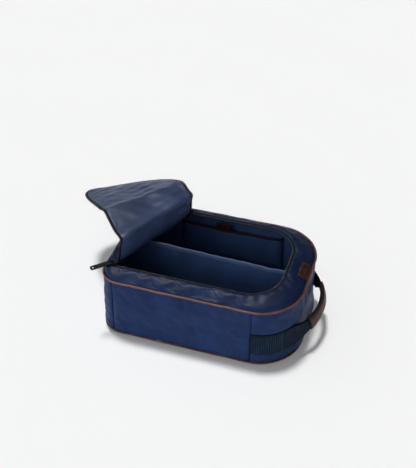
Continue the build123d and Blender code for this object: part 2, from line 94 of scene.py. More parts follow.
HINGE_SEAM_X = corners("near_side_gusset")[0][0]
FLOOR_Z = corners("floor_lining")[1][2]


# ---------------------------------------------------------------- small helpers

def unit(v):
    """Vectors scaled to length one."""
    return v / np.maximum(np.linalg.norm(v, axis=-1, keepdims=True), 1e-9)


def smooth(t):
    """Smooth step from 0 to 1."""
    t = np.clip(t, 0, 1)
    return t * t * (3 - 2 * t)


def mix(a, b, share):
    """The value a given share of the way from a to b."""
    return a + (b - a) * share


def running_length(path):
    """Distance along a path, at each of its points."""
    return np.r_[0, np.cumsum(np.linalg.norm(np.diff(path, axis=0), axis=1))]


def ring_angles(count):
    """Evenly spaced angles round a ring, in radians."""
    return np.arange(count) * 2 * math.pi / count


def squared_off(wave, power):
    """A sine or cosine flattened towards a square wave by a power under 1."""
    return np.sign(wave) * np.abs(wave) ** power


def at_height(flat, z):
    """A grid of plan points at one height."""
    return np.dstack([flat, np.full(flat.shape[:2], z)])


def linked(name, data):
    """A new object in the scene."""
    made = bpy.data.objects.new(name, data)
    bpy.context.scene.collection.objects.link(made)
    return made


def aimed(thing, direction, axis="Z"):
    """Turns an object so that one of its axes points in a direction."""
    thing.rotation_mode = "QUATERNION"
    thing.rotation_quaternion = Vector(direction).to_track_quat(axis, "Y")


def waves(seed, size, count=7):
    """A smooth random height function of two flat coordinates, about -1 to 1, with bumps of a size."""
    draw = np.random.default_rng(seed)
    turn = draw.uniform(0, math.pi, count)
    length = size * draw.uniform(0.7, 1.6, count)
    phase = draw.uniform(0, 2 * math.pi, count)

    def height(u, v):
        total = 0
        for a, l, p in zip(turn, length, phase):
            total = total + np.sin(2 * math.pi * (u * math.cos(a) + v * math.sin(a)) / l + p)
        return total / math.sqrt(count)
    return height


def turned(points, origin, axis, angle):
    """Points turned about an axis by one angle, or by an angle each, in radians."""
    axis = np.array(axis, float) / np.linalg.norm(axis)
    v = points - origin
    c = np.cos(angle)
    s = np.sin(angle)
    if np.ndim(c):
        c = c[..., None]
        s = s[..., None]
    along = (v @ axis)[..., None] * axis
    return origin + v * c + np.cross(axis, v) * s + along * (1 - c)


def new_object(name, points, faces, material, face_uvs=None):
    """Mesh object from points in millimetres, smooth shaded, with an optional UV for each face corner."""
    mesh = bpy.data.meshes.new(name)
    mesh.from_pydata((np.asarray(points) * MM).tolist(), [], faces)
    mesh.polygons.foreach_set("use_smooth", [True] * len(mesh.polygons))
    if face_uvs is not None:
        layer = mesh.uv_layers.new(name="UVMap")
        layer.data.foreach_set("uv", np.asarray(face_uvs, np.float32).ravel())
    mesh.materials.append(material)
    mesh.update()
    return linked(name, mesh)


def grid_normals(grid, wrap):
    """Unit normal at each point of a grid of points; wrap closes it along the second direction."""
    if wrap:
        across = np.roll(grid, -1, axis=1) - np.roll(grid, 1, axis=1)
    else:
        across = np.gradient(grid, axis=1)
    return unit(np.cross(across, np.gradient(grid, axis=0)))


def lengths(grid):
    """Distance along the first and the second direction of a grid, measured on its middle lines."""
    rows, columns = grid.shape[:2]
    return running_length(grid[:, columns // 2]), running_length(grid[rows // 2])


def grid_faces(rows, columns, wrap, start=0, flip=False):
    """Quads of a grid and the row and column of each of their corners."""
    quads = []
    places = []
    for r in range(rows - 1):
        for c in range(columns if wrap else columns - 1):
            square = [(r, c), (r, c + 1), (r + 1, c + 1), (r + 1, c)]
            if flip:
                square.reverse()
            quads.append([start + i * columns + j % columns for i, j in square])
            places.append(square)
    return quads, places


def sheet_object(name, grid, material, thickness=0.0, wrap=False, normals=None):
    """A sheet of fabric or leather from a grid of points; its thickness lies against its normals."""
    rows, columns = grid.shape[:2]
    down, along = lengths(grid)
    if wrap:
        along = np.r_[along, along[-1] + np.linalg.norm(grid[rows // 2, 0] - grid[rows // 2, -1])]
    quads, places = grid_faces(rows, columns, wrap)
    points = grid.reshape(-1, 3)
    if thickness:
        if normals is None:
            normals = grid_normals(grid, wrap)
        inner = grid - normals * thickness
        more, more_places = grid_faces(rows, columns, wrap, rows * columns, True)
        quads += more
        places += more_places
        points = np.r_[points, inner.reshape(-1, 3)]
        rim = [[(0, c) for c in range(columns + wrap)],
               [(rows - 1, c) for c in reversed(range(columns + wrap))]]
        if not wrap:
            rim[0] += [(r, columns - 1) for r in range(1, rows)]
            rim[0] += [(rows - 1, c) for c in reversed(range(columns - 1))]
            rim[0] += [(r, 0) for r in reversed(range(rows - 1))]
            rim = rim[:1]
        for edge in rim:
            for (r0, c0), (r1, c1) in zip(edge, edge[1:]):
                a = r0 * columns + c0 % columns
                b = r1 * columns + c1 % columns
                quads.append([b, a, a + rows * columns, b + rows * columns])
                places.append([(r1, c1), (r0, c0), (r0, c0), (r1, c1)])
    uvs = [(along[c] * MM, down[r] * MM) for square in places for r, c in square]
    return new_object(name, points, quads, material, uvs)


def cut_size(grid):
    """Width, length and area in metres of the cloth that covers a grid."""
    down = np.linalg.norm(np.diff(grid, axis=0), axis=2).sum(axis=0).max() * MM
    along = np.linalg.norm(np.diff(grid, axis=1), axis=2).sum(axis=1).max() * MM
    cross = np.cross(grid[1:, 1:] - grid[:-1, :-1], grid[1:, :-1] - grid[:-1, 1:])
    area = np.linalg.norm(cross, axis=2).sum() / 2 * MM * MM
    return (down, along), area


def cloth_sheet(name, grid, material, thickness, wrap=False, cut=None):
    """A sheet of cloth from a grid; its cut, a grid from before it settled, is not used."""
    piece = sheet_object(name, grid, material, thickness, wrap)
    cut = grid if cut is None else cut
    if wrap:
        cut = np.concatenate([cut, cut[:, :1]], axis=1)
    return piece


def tube_grid(path, radius, sides=12, closed=False, up=(0, 0, 1)):
    """Round tube along a path, as a grid whose second direction runs round the tube."""
    if closed:
        tangent = unit(np.roll(path, -1, axis=0) - np.roll(path, 1, axis=0))
    else:
        tangent = unit(np.gradient(path, axis=0))
    side = unit(np.cross(tangent, np.array(up, float)))
    lift = np.cross(side, tangent)
    turn = ring_angles(sides)
    radius = np.broadcast_to(radius, len(path))[:, None, None]
    ring = side[:, None] * np.cos(turn)[None, :, None] + lift[:, None] * np.sin(turn)[None, :, None]
    return path[:, None] + ring * radius


def closed_tube(name, path, radius, material, sides=12):
    """Tube object along a closed path."""
    grid = tube_grid(path, radius, sides, closed=True)
    grid = np.concatenate([grid, grid[:1]])
    return sheet_object(name, grid[:, ::-1], material, wrap=True)


def stitch_row(name, path, normals, material, pitch=3.2, length=2.3, radius=0.28, sides=6):
    """A row of thread stitches along a path, each a small rounded bar half sunk in the fabric."""
    distance = running_length(path)
    middles = np.arange(pitch / 2, distance[-1], pitch)

    def at(values, where):
        return np.stack([np.interp(where, distance, values[:, i]) for i in range(3)], axis=1)
    points = []
    faces = []
    turn = ring_angles(sides)
    profile = ((-0.5, 0.25, -0.5), (-0.36, 1.0, 0.1), (0.36, 1.0, 0.1), (0.5, 0.25, -0.5))
    normal = unit(at(normals, middles))
    for i, middle in enumerate(middles):
        ends = at(path, np.array([middle - length / 2, middle + length / 2]))
        along = ends[1] - ends[0]
        side = unit(np.cross(along, normal[i]))
        for share, size, lift in profile:
            centre = at(path, np.array([middle + share * length]))[0] + normal[i] * lift * radius
            ring = side * np.cos(turn)[:, None] + normal[i] * np.sin(turn)[:, None]
            points.append(centre + ring * radius * size)
        start = i * len(profile) * sides
        for ring in range(len(profile) - 1):
            for k in range(sides):
                a = start + ring * sides + k
                b = start + ring * sides + (k + 1) % sides
                faces.append([a, b, b + sides, a + sides])
        faces.append([start + k for k in reversed(range(sides))])
        faces.append([start + (len(profile) - 1) * sides + k for k in range(sides)])
    return new_object(name, np.concatenate(points), faces, material)


# ---------------------------------------------------------------- materials

class Nodes:
    """Short ways to add nodes to one material."""

    def __init__(self, name):
        self.material = bpy.data.materials.new(name)
        self.material.use_nodes = True
        self.tree = self.material.node_tree
        self.shader = next(n for n in self.tree.nodes if n.type == "BSDF_PRINCIPLED")

    def add(self, kind, **inputs):
        """A node of a kind with its inputs set or linked; a key of i_N sets input N."""
        node = self.tree.nodes.new(kind)
        for key, value in inputs.items():
            if key.startswith("p_"):
                setattr(node, key[2:], value)
                continue
            socket = node.inputs[int(key[2:])] if key.startswith("i_") else node.inputs[key]
            self.feed(socket, value)
        return node

    def feed(self, socket, value):
        """Links a node output to a socket, or sets its value."""
        if isinstance(value, bpy.types.NodeSocket):
            self.tree.links.new(value, socket)
        else:
            socket.default_value = value

    def math(self, operation, a, b=0.0):
        """Output of a math node."""
        return self.add("ShaderNodeMath", p_operation=operation, i_0=a, i_1=b).outputs[0]

    def uv(self):
        """The two surface coordinates, in metres, as separate outputs."""
        split = self.add("ShaderNodeSeparateXYZ",
                         i_0=self.add("ShaderNodeTexCoord").outputs["UV"])
        return split.outputs[0], split.outputs[1]

    def noise(self, scale, detail=3.0, roughness=0.5, stretch=(1, 1, 1), space="Object"):
        """Noise value in object space; stretch squeezes it along an axis."""
        place = self.add("ShaderNodeTexCoord").outputs[space]
        mapped = self.add("ShaderNodeMapping", i_0=place, i_3=stretch).outputs[0]
        return self.add("ShaderNodeTexNoise", i_0=mapped, Scale=scale, Detail=detail,
                        Roughness=roughness).outputs[0]

    def ramp(self, value, stops):
        """Colours picked by a value; stops are (place, colour)."""
        node = self.add("ShaderNodeValToRGB", i_0=value)
        elements = node.color_ramp.elements
        while len(elements) < len(stops):
            elements.new(0.5)
        for element, (place, colour) in zip(elements, stops):
            element.position = place
            element.color = (*colour, 1)
        return node.outputs[0]

    def spread(self, value, low, high):
        """A 0 to 1 value mapped to a range."""
        return self.add("ShaderNodeMapRange", i_0=value, i_3=low, i_4=high).outputs[0]

    def bump(self, height, strength, distance):
        """Bump normal from a height."""
        return self.add("ShaderNodeBump", Strength=strength, Distance=distance,
                        Height=height).outputs[0]

    def finish(self, colour, roughness, normal=None, **plain):
        """Feeds the shader and returns the material."""
        self.feed(self.shader.inputs["Base Color"], colour)
        self.feed(self.shader.inputs["Roughness"], roughness)
        if normal is not None:
            self.feed(self.shader.inputs["Normal"], normal)
        for key, value in plain.items():
            self.shader.inputs[key.replace("_", " ")].default_value = value
        return self.material


def shaded(colour, factor):
    """A colour made darker or lighter."""
    return tuple(min(1.0, c * factor) for c in colour)


def woven(name, colour, thread, gloss, sheen, relief=0.12, tint=(0.3, 0.4, 0.6), crease=0.0,
          shine=0.10):
    """Plain weave cloth: crossing threads of a width in metres, cloudy colour, soft gloss, and painted shade and
    light on the threads.
    """
    n = Nodes(name)
    u, v = n.uv()
    over = n.math("SINE", n.math("MULTIPLY", u, math.pi / thread))
    under = n.math("SINE", n.math("MULTIPLY", v, math.pi / thread))
    weave = n.math("MULTIPLY", over, under)
    fine = n.noise(900.0, 2.0)
    cloud = n.noise(22.0, 4.0, 0.55)
    height = n.math("ADD", weave, n.math("MULTIPLY", fine, 0.6))
    if crease:
        height = n.math("ADD", height, n.math("MULTIPLY", n.noise(140.0, 5.0, 0.6), crease))
    # Painted shade and light: the colour follows the weave's height, lighter on the thread crests and darker in
    # the hollows between them, mixed with random cloudy tone.
    thread_shade_and_mottle = n.math("ADD", n.math("MULTIPLY", weave, 0.1), cloud)
    tone = n.ramp(thread_shade_and_mottle, [(0.25, shaded(colour, 0.78)), (0.5, colour), (0.8, shaded(colour, 1.3))])
    rough = n.spread(n.noise(60.0, 3.0), gloss - 0.06, gloss + 0.08)
    return n.finish(tone, rough, n.bump(height, relief, 0.0004), Sheen_Weight=sheen,
                    Sheen_Roughness=0.35, Sheen_Tint=(*tint, 1), Specular_IOR_Level=shine)


def leather(name, colour, gloss, grain=520.0, worn=1.5):
    """Smooth leather: pebbled grain, fine creases and rubbed lighter patches."""
    n = Nodes(name)
    place = n.add("ShaderNodeTexCoord").outputs["Object"]
    pebble = n.add("ShaderNodeTexVoronoi", i_0=place, Scale=grain).outputs["Distance"]
    pores = n.noise(1500.0, 4.0, 0.6)
    cloud = n.noise(45.0, 5.0, 0.6)
    height = n.math("ADD", n.math("MULTIPLY", pebble, 0.8), n.math("MULTIPLY", pores, 0.5))
    tone = n.ramp(cloud, [(0.3, shaded(colour, 0.7)), (0.52, colour), (0.75, shaded(colour, worn))])
    rough = n.spread(pores, gloss - 0.05, gloss + 0.15)
    return n.finish(tone, rough, n.bump(height, 0.25, 0.0003), Specular_IOR_Level=0.22,
                    Coat_Weight=0.02, Coat_Roughness=0.35)


def ribbed(name, colour, rib, gloss):
    """Webbing or zip tape: ribs across its length with a finer twill on them, and painted shade and light that
    follow the ribs.
    """
    n = Nodes(name)
    u, v = n.uv()
    rib_wave = n.math("SINE", n.math("MULTIPLY", v, 2 * math.pi / rib))
    skew = n.math("ADD", n.math("MULTIPLY", u, 2 * math.pi / rib), n.math("MULTIPLY", rib_wave, 1.6))
    twill = n.math("SINE", skew)
    height = n.math("ADD", n.math("MULTIPLY", rib_wave, 0.7), n.math("MULTIPLY", twill, 0.5))
    # Painted shade and light: the colour follows the rib and twill height, lighter on the crests and darker in the
    # grooves, mixed with random noise in tone.
    thread_shade_and_mottle = n.math("ADD", n.math("MULTIPLY", height, 0.16), n.noise(70.0, 3.0))
    tone = n.ramp(thread_shade_and_mottle, [(0.3, shaded(colour, 0.6)), (0.55, colour), (0.85, shaded(colour, 1.6))])
    return n.finish(tone, gloss, n.bump(height, 0.5, 0.0003), Sheen_Weight=0.02,
                    Sheen_Roughness=0.5, Specular_IOR_Level=0.08)


def metal(name, colour, gloss):
    """Plated metal with fine scratches and slight tarnish."""
    n = Nodes(name)
    scratch = n.noise(420.0, 5.0, 0.7, stretch=(1, 9, 1))
    tone = n.ramp(n.noise(90.0, 4.0), [(0.3, shaded(colour, 0.65)), (0.7, shaded(colour, 1.25))])
    rough = n.spread(scratch, gloss, gloss + 0.22)
    return n.finish(tone, rough, n.bump(scratch, 0.12, 0.0002), Metallic=1.0)


def moulded(name, colour, gloss, grain=700.0):
    """Plain moulded or foamed plastic with a fine skin."""
    n = Nodes(name)
    skin = n.noise(grain, 3.0, 0.6)
    tone = n.ramp(n.noise(60.0), [(0.3, shaded(colour, 0.8)), (0.7, shaded(colour, 1.2))])
    return n.finish(tone, n.spread(skin, gloss, gloss + 0.15), n.bump(skin, 0.15, 0.0003))


NAVY = (0.0115, 0.031, 0.112)
# The lining's navy, painted lighter than the cloth is, so that its colour stands in for light that hardly reaches
# inside the bag: painted light.
LINING_NAVY_WITH_PAINTED_LIGHT = (0.050, 0.095, 0.235)
nylon = woven("navy_nylon", NAVY, 0.00045, 0.48, 0.03, tint=(0.35, 0.42, 0.75), crease=0.5)
lining_cloth = woven("navy_lining", LINING_NAVY_WITH_PAINTED_LIGHT, 0.0004, 0.38, 0.04, tint=(0.45, 0.5, 0.75), crease=0.3)
# The lid's lining is the lining cloth in a lighter copy: painted light for the lit inner face of the open lid.
lid_lining_painted_light_cloth = woven("lid_lining", (0.064, 0.106, 0.25), 0.0004, 0.43, 0.08,
                         tint=(0.6, 0.62, 0.7), crease=0.4, shine=0.26)
hem_cloth = woven("divider_hem", (0.085, 0.135, 0.30), 0.0004, 0.42, 0.08, tint=(0.5, 0.55, 0.8))
tan = leather("tan_leather", (0.23, 0.08, 0.048), 0.42)
# The bottom piping is the same tan leather as the top piping, painted darker: painted shade for the shadow at the
# bag's foot.
foot_tan_painted_shade = leather("foot_leather_painted_shade", (0.10, 0.035, 0.022), 0.5)
brown = leather("brown_leather", (0.06, 0.019, 0.012), 0.42, worn=1.7)
binding_leather = leather("binding_leather", (0.03, 0.009, 0.006), 0.5)
webbing_cloth = ribbed("webbing", (0.004, 0.014, 0.034), 0.0016, 0.6)
tape_cloth = ribbed("zip_tape", (0.006, 0.007, 0.008), 0.0009, 0.6)
coil_plastic = moulded("zip_coil", (0.035, 0.042, 0.036), 0.28)
foam_plastic = moulded("foam", (0.03, 0.032, 0.038), 0.85, 400.0)
board_plastic = moulded("board", (0.02, 0.02, 0.022), 0.5)
gunmetal = metal("dark_metal", (0.013, 0.012, 0.0105), 0.4)
navy_thread = ribbed("navy_thread", (0.02, 0.035, 0.10), 0.0005, 0.6)
light_thread = ribbed("webbing_thread", (0.03, 0.085, 0.15), 0.0005, 0.5)
brown_thread = ribbed("leather_thread", (0.34, 0.13, 0.08), 0.0005, 0.6)
filler = ribbed("filler_cord", (0.5, 0.48, 0.44), 0.001, 0.8)


# ---------------------------------------------------------------- outlines

LOOP_COUNTS = dict(hinge=21, hinge_corner=14, side=60, handle_corner=31, end=20)


def loop(low_x, high_x, half_width, low_radius, high_radius, z):
    """Closed plan outline, anticlockwise from the middle of the hinge end, always with the same counts."""
    count = LOOP_COUNTS
    low_c = np.array([low_x + low_radius, half_width - low_radius])
    high_c = np.array([high_x - high_radius, half_width - high_radius])

    def run(a, b, steps):
        share = np.arange(steps)[:, None] / steps
        return mix(np.array(a, float), np.array(b, float), share)

    def bend(centre, radius, start, steps):
        turn = np.radians(start + 90 * np.arange(steps) / steps)
        return np.c_[centre[0] + radius * np.cos(turn), centre[1] + radius * np.sin(turn)]
    flat = np.concatenate([
        run((low_x, 0), (low_x, -low_c[1]), count["hinge"]),
        bend((low_c[0], -low_c[1]), low_radius, 180, count["hinge_corner"]),
        run((low_c[0], -half_width), (high_c[0], -half_width), count["side"]),
        bend((high_c[0], -high_c[1]), high_radius, 270, count["handle_corner"]),
        run((high_x, -high_c[1]), (high_x, high_c[1]), count["end"]),
        bend(high_c, high_radius, 0, count["handle_corner"]),
        run((high_c[0], half_width), (low_c[0], half_width), count["side"]),
        bend(low_c, low_radius, 90, count["hinge_corner"]),
        run((low_x, low_c[1]), (low_x, 0), count["hinge"]),
    ])
    return np.c_[flat, np.full(len(flat), z)]


def body_loop(z, grow=0.0):
    """The bag's outline at a height, moved outwards by grow."""
    out = grow + FLARE * (RIM_Z - z) / (RIM_Z - FOOT_Z)
    return loop(-HALF_LENGTH - out, HALF_LENGTH + out, HALF_WIDTH + out,
                HINGE_CORNER + out, HANDLE_CORNER + out, z)


def along_loop(points, place):
    """Points of a closed outline at fractional places along its list."""
    count = len(points)
    low = np.floor(place).astype(int)
    share = (place - low)[:, None]
    return mix(points[low % count], points[(low + 1) % count], share)


def seam_place(x, near):
    """Where along the outline it crosses an X, on the near or the far side."""
    points = body_loop(RIM_Z)
    count = len(points)
    half = count // 2
    span = range(0, half) if near else range(half, count)
    for i in span:
        a, b = points[i], points[(i + 1) % count]
        if (a[0] - x) * (b[0] - x) <= 0 and a[0] != b[0]:
            return i + (x - a[0]) / (b[0] - a[0])
    raise ValueError(f"no seam at {x}")


def spline_rows(controls, steps):
    """Rows of a smooth surface through a few control rows (Catmull-Rom)."""
    rows = [2 * controls[0] - controls[1], *controls, 2 * controls[-1] - controls[-2]]
    made = []
    for i in range(1, len(rows) - 2):
        for k in range(steps):
            t = k / steps
            a, b, c, d = rows[i - 1:i + 3]
            made.append(0.5 * (2 * b + (c - a) * t + (2 * a - 5 * b + 4 * c - d) * t ** 2
                               + (3 * b - a - 3 * c + d) * t ** 3))
    made.append(rows[-2])
    return np.array(made)


def settled(grid, pins, slack, name, wrap=False, pressure=0.0, cap=3.0, frames=18, gravity=0.0):
    """The grid after its cloth has settled: cut a little too large, held where pinned, and capped."""
    rows, columns = grid.shape[:2]
    quads, _ = grid_faces(rows, columns, wrap)
    trial = new_object(f"{name}_trial", grid.reshape(-1, 3), quads, nylon)
    held = trial.vertex_groups.new(name="held")
    flat_pins = pins.ravel()
    for weight in (0.25, 0.5, 0.75, 1.0):
        chosen = np.nonzero((flat_pins > weight - 0.25) & (flat_pins <= weight))[0]
        held.add([int(i) for i in chosen], weight, "REPLACE")
    cloth = trial.modifiers.new("cloth", "CLOTH")
    settings = cloth.settings
    settings.quality = 6
    settings.mass = 0.25
    settings.tension_stiffness = 20
    settings.compression_stiffness = 20
    settings.shear_stiffness = 6
    settings.bending_stiffness = 5
    settings.shrink_min = -slack
    settings.use_pressure = pressure != 0
    settings.uniform_pressure_force = pressure
    settings.vertex_group_mass = "held"
    settings.effector_weights.gravity = gravity
    cloth.point_cache.frame_start = 1
    cloth.point_cache.frame_end = frames
    for step in range(1, frames + 1):
        bpy.context.scene.frame_set(step)
    evaluated = trial.evaluated_get(bpy.context.evaluated_depsgraph_get())
    found = np.zeros(rows * columns * 3, np.float32)
    evaluated.data.vertices.foreach_get("co", found)
    bpy.data.objects.remove(trial)
    bpy.context.scene.frame_set(1)
    moved = found.reshape(grid.shape).astype(float) / MM - grid
    size = np.linalg.norm(moved, axis=-1, keepdims=True)
    return grid + moved * np.minimum(1, cap / np.maximum(size, 1e-6))


def placed(piece, body, slot, *replaced):
    """Rides a piece on a body and hides the CAD nodes it stands for; its slot is not used."""
    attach(piece, body)
    if replaced:
        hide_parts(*replaced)
    return piece


# ---------------------------------------------------------------- walls

near_hinge = seam_place(HINGE_SEAM_X, True)
near_handle = seam_place(HANDLE_SEAM_X, True)
far_handle = seam_place(HANDLE_SEAM_X, False)
far_hinge = seam_place(HINGE_SEAM_X, False)
turn_count = len(body_loop(RIM_Z))
TACK_Z = joints["handle_swing"]["pos_m"][2] / MM
WEBBING_HEIGHT = corners("handle_near_tail")[1][2] - corners("handle_near_tail")[0][2]


COLUMN_DENSITY = 1.35
WALL_ROWS = 38
WALL_INSET = 0.6
FOOT_BULGE = 2.2
SEAM_DRAW = 1.1
PIPING_DRAW = 0.9
DEEPEST_DRAW = -1.3
UNDER_WEBBING = -0.35
WALL_SETTLING = dict(slack=0.007, pressure=0.25, cap=1.4)
WALL_THICKNESS = 1.1


def wall_grid(start, end, heights, grow):
    """Grid on the flared wall, rows from low to high and columns anticlockwise."""
    columns = int((end - start) * COLUMN_DENSITY)
    place = np.linspace(start, end, columns)
    return np.array([along_loop(body_loop(z, grow), place) for z in heights])


def wall_panel(name, start, end, seed, swell, flatten):
    """One outer wall panel: drawn in at its seams, softly swollen and puckered along the piping."""
    heights = np.linspace(FOOT_Z + WALL_INSET, RIM_Z - WALL_INSET, WALL_ROWS)
    grid = wall_grid(start, end, heights, 0.0)
    _, along = lengths(grid)
    s, z = np.meshgrid(along, heights)
    rim = np.minimum(RIM_Z - z, z - FOOT_Z)
    side = np.minimum(s, along[-1] - s)
    rise = np.sin(math.pi * (z - FOOT_Z) / (RIM_Z - FOOT_Z))
    soft = swell * rise + 1.1 * waves(seed, 85)(s, z) * rise + 0.35 * waves(seed + 1, 26)(s, z)
    pucker = 0.55 * np.exp(-rim / 10) * waves(seed + 2, 13)(s, 0.25 * z)
    pucker += 0.5 * np.exp(-side / 9) * waves(seed + 3, 12)(0.25 * s, z)
    off = soft + pucker
    off = off * (1 - np.exp(-rim / 5)) * (1 - np.exp(-side / 4))
    if flatten:
        band = smooth((WEBBING_HEIGHT / 2 + 7 - np.abs(z - TACK_Z)) / 8)
        off = np.minimum(off, mix(off, UNDER_WEBBING, band))
    off = off + FOOT_BULGE * np.exp(-((z - FOOT_Z - 9) / 8) ** 2) * (1 - np.exp(-side / 6))
    off = off - PIPING_DRAW * np.exp(-rim / 3.5) - SEAM_DRAW * np.exp(-side / 2.2)
    off = np.maximum(off, DEEPEST_DRAW)
    grid = grid + grid_normals(grid, False) * off[..., None]
    held = ((rim < 4) | (side < 4) | (off < 0)).astype(float)
    skin = settled(grid, held, name=name, **WALL_SETTLING)
    return cloth_sheet(f"{name}_skin", skin, nylon, WALL_THICKNESS, cut=grid)


wall_panels = {
    "near_side": (near_hinge, near_handle, 21, 1.3, False),
    "handle_end": (near_handle, far_handle, 31, 0.9, True),
    "far_side": (far_handle, far_hinge, 41, 1.3, False),
    "hinge_end": (far_hinge, near_hinge + turn_count, 51, 1.2, False),
}
for title, (start, end, seed, swell, flatten) in wall_panels.items():
    panel = wall_panel(title, start, end, seed, swell, flatten)
    placed(panel, "root", "navy_nylon", f"{title}_gusset")

# The bottom piping gets the darker copy of the tan leather: painted shade.
for title, z, hide, size in (("top_piping", RIM_Z, tan, 0.85), ("bottom_piping", FOOT_Z, foot_tan_painted_shade, 0.8)):
    fine = np.arange(0, turn_count, 0.5)
    path = along_loop(body_loop(z, PIPING_OVERHANG), fine)
    radius = size * PIPING_RADIUS * (1 + 0.03 * waves(61, 9)(fine * 4, 0 * fine))
    path = path + [0, 0, 0.35] * waves(62, 40)(fine * 4, 0 * fine)[:, None]
    piping = closed_tube(f"{title}_leather", path, radius, hide)
    placed(piping, "root", "tan_leather", title)


# ---------------------------------------------------------------- top margin round the opening

CROWN_SHARE = 0.55
CROWN_RISE = 0.60
LIP_WIDTH = 5.5
HINGE_LIP = 3.0
HINGE_HEM_RADIUS = 5.0
CROWN_STEPS = 9
MARGIN_SETTLING = dict(slack=0.010, pressure=0.05, cap=1.3)
MARGIN_SEAM = 0.955
lip_reach = FABRIC_SETBACK + LIP_WIDTH


def crown_rows(drop, steps, grow=0.0):
    """Rows of the crowned margin from the piping to the zip, lowered by drop."""
    rim = -1.4 + grow
    low_x = -HALF_LENGTH - rim
    lip_low_x = ZIP_START_X - HINGE_LIP
    rise = (LID_Z - RIM_Z) * CROWN_RISE
    middle = loop(mix(low_x, lip_low_x, 0.4), mix(HALF_LENGTH + rim, ZIP_TIP_X + lip_reach, CROWN_SHARE),
                  mix(HALF_WIDTH + rim, ZIP_HALF_WIDTH + lip_reach, CROWN_SHARE),
                  HINGE_CORNER * 0.7, (HANDLE_CORNER + ZIP_CORNER + lip_reach) / 2, RIM_Z + rise - drop)
    rows = [
        body_loop(RIM_Z + 0.4 - min(drop, 1.5), rim),
        middle,
        loop(lip_low_x, ZIP_TIP_X + lip_reach, ZIP_HALF_WIDTH + lip_reach,
             HINGE_CORNER * 0.4, ZIP_CORNER + lip_reach, LID_Z - drop),
        loop(ZIP_START_X, ZIP_TIP_X + FABRIC_SETBACK, ZIP_HALF_WIDTH + FABRIC_SETBACK,
             HINGE_HEM_RADIUS, ZIP_CORNER + FABRIC_SETBACK, LID_Z - 0.2 - drop),
    ]
    return spline_rows(rows, steps)


def soft_crown(rows, seed, size):
    """Adds the slack, cross wrinkles and swell of the margin's cloth to its rows."""
    count = len(rows)
    along = running_length(rows[count // 2])
    share = np.linspace(0, 1, count)
    s, v = np.meshgrid(along, share)
    hold = np.sin(math.pi * np.clip(v, 0, 1)) ** 0.8
    slack = 1.0 * waves(seed, 70)(s, 60 * v) + 0.45 * waves(seed + 1, 22)(s, 30 * v)
    cross = np.exp(-((v - 0.62) / 0.3) ** 2) * waves(seed + 2, 13)(s, 5 * v)
    patches = smooth(0.5 + 0.8 * waves(seed + 3, 90)(s, 0 * s))
    width = np.linalg.norm(rows[-1] - rows[0], axis=1)
    full = np.clip((width - 14) / 16, 0.05, 1)
    streaks = waves(seed + 5, 9)(0.8 * s + 14 * v, 9 * v) * np.exp(-((v - 0.5) / 0.3) ** 2)
    middle_x = rows[count // 2, :, 0]
    near = rows[count // 2, :, 1] < 0
    crumpled = np.where(near, np.exp(-((middle_x - 25) / 55) ** 2), 0.0)
    off = size * full * hold * (0.7 * slack + 0.4 + 0.75 * cross * patches + 0.8 * streaks * crumpled)
    off = off + size * 0.35 * np.exp(-v / 0.09) * waves(seed + 4, 12)(s, 0 * s) * hold * full
    return rows + grid_normals(rows, True) * off[..., None]


margin_cut = soft_crown(crown_rows(0.0, CROWN_STEPS), 71, 1.0)
margin_held = np.zeros(margin_cut.shape[:2])
margin_held[:3] = 1
margin_held[-4:] = 1
margin_rows = settled(margin_cut, margin_held, name="margin", wrap=True, **MARGIN_SETTLING)
hem_edge = margin_rows[-1] + [0, 0, -1.0]
hem_under = crown_rows(1.6, CROWN_STEPS)[-3]
margin_grid = np.concatenate([margin_rows, [hem_edge], [hem_under]])
margin = cloth_sheet("top_margin", margin_grid, nylon, 0.0, True,
                     margin_cut)
placed(margin, "root", "navy_nylon", "top_panel")

under_rows = crown_rows(2.4, 5, grow=-4.0)
under_rows[0] = body_loop(RIM_Z - 2.5, -5.6)
under_margin = cloth_sheet("top_margin_lining", under_rows[::-1], lining_cloth, 0.5,
                           True)
placed(under_margin, "root", "navy_lining", "top_lining")


def margin_point(rows, share):
    """A line on the margin between its piping, at 0, and its zip edge, at 1."""
    where = share * (len(rows) - 1)
    low = min(int(where), len(rows) - 2)
    return mix(rows[low], rows[low + 1], where - low)


margin_normals = grid_normals(margin_rows, True)
seam_line = margin_point(margin_rows, MARGIN_SEAM)
seam_normals = margin_point(margin_normals, MARGIN_SEAM)
open_line = np.r_[seam_line, seam_line[:1]]
open_normals = np.r_[seam_normals, seam_normals[:1]]
margin_stitches = stitch_row("margin_stitches", open_line, open_normals, navy_thread)
placed(margin_stitches, "root", "thread")


# ---------------------------------------------------------------- lid folds

LID_COLUMNS = 64
FLAP_BODIES = ["root", "flap_1", "flap_2", "flap_3", "flap_4"]
ZONE_TITLES = ["lid_base", *FLAP_BODIES[1:]]
TIP_ZONE = 4
FOLD_REACH = [16.2, 19.0, 34.0, 54.0]
FOLD_LEAN = [0.35, 0.35, 0.35, 0.35]
fold_joints = [joints[name] for name in ("flap_fold", "flap_curl_1", "flap_curl_2", "flap_curl_3")]
fold_ratio = [1.0] + [c["ratio"] for c in frame["record"]["behaviour"]["couplings"]]
open_angle = -math.radians(fold_joints[0]["range_deg"][0])
fold_angle = [open_angle * ratio for ratio in fold_ratio]
fold_pos = [np.array(j["pos_m"]) / MM for j in fold_joints]
fold_axis = [np.array(j["axis"]) / np.linalg.norm(j["axis"]) for j in fold_joints]


def closed_line(fold):
    """A fold line on the closed lid: a point of it and its direction towards the far side."""
    ends = np.array([fold_pos[fold], fold_pos[fold] - fold_axis[fold]])
    for j in reversed(range(fold)):
        ends = turned(ends, fold_pos[j], fold_axis[j], -fold_angle[j])
    return ends[0][:2], unit(ends[1] - ends[0])[:2]


fold_lines = [closed_line(k) for k in range(TIP_ZONE)]


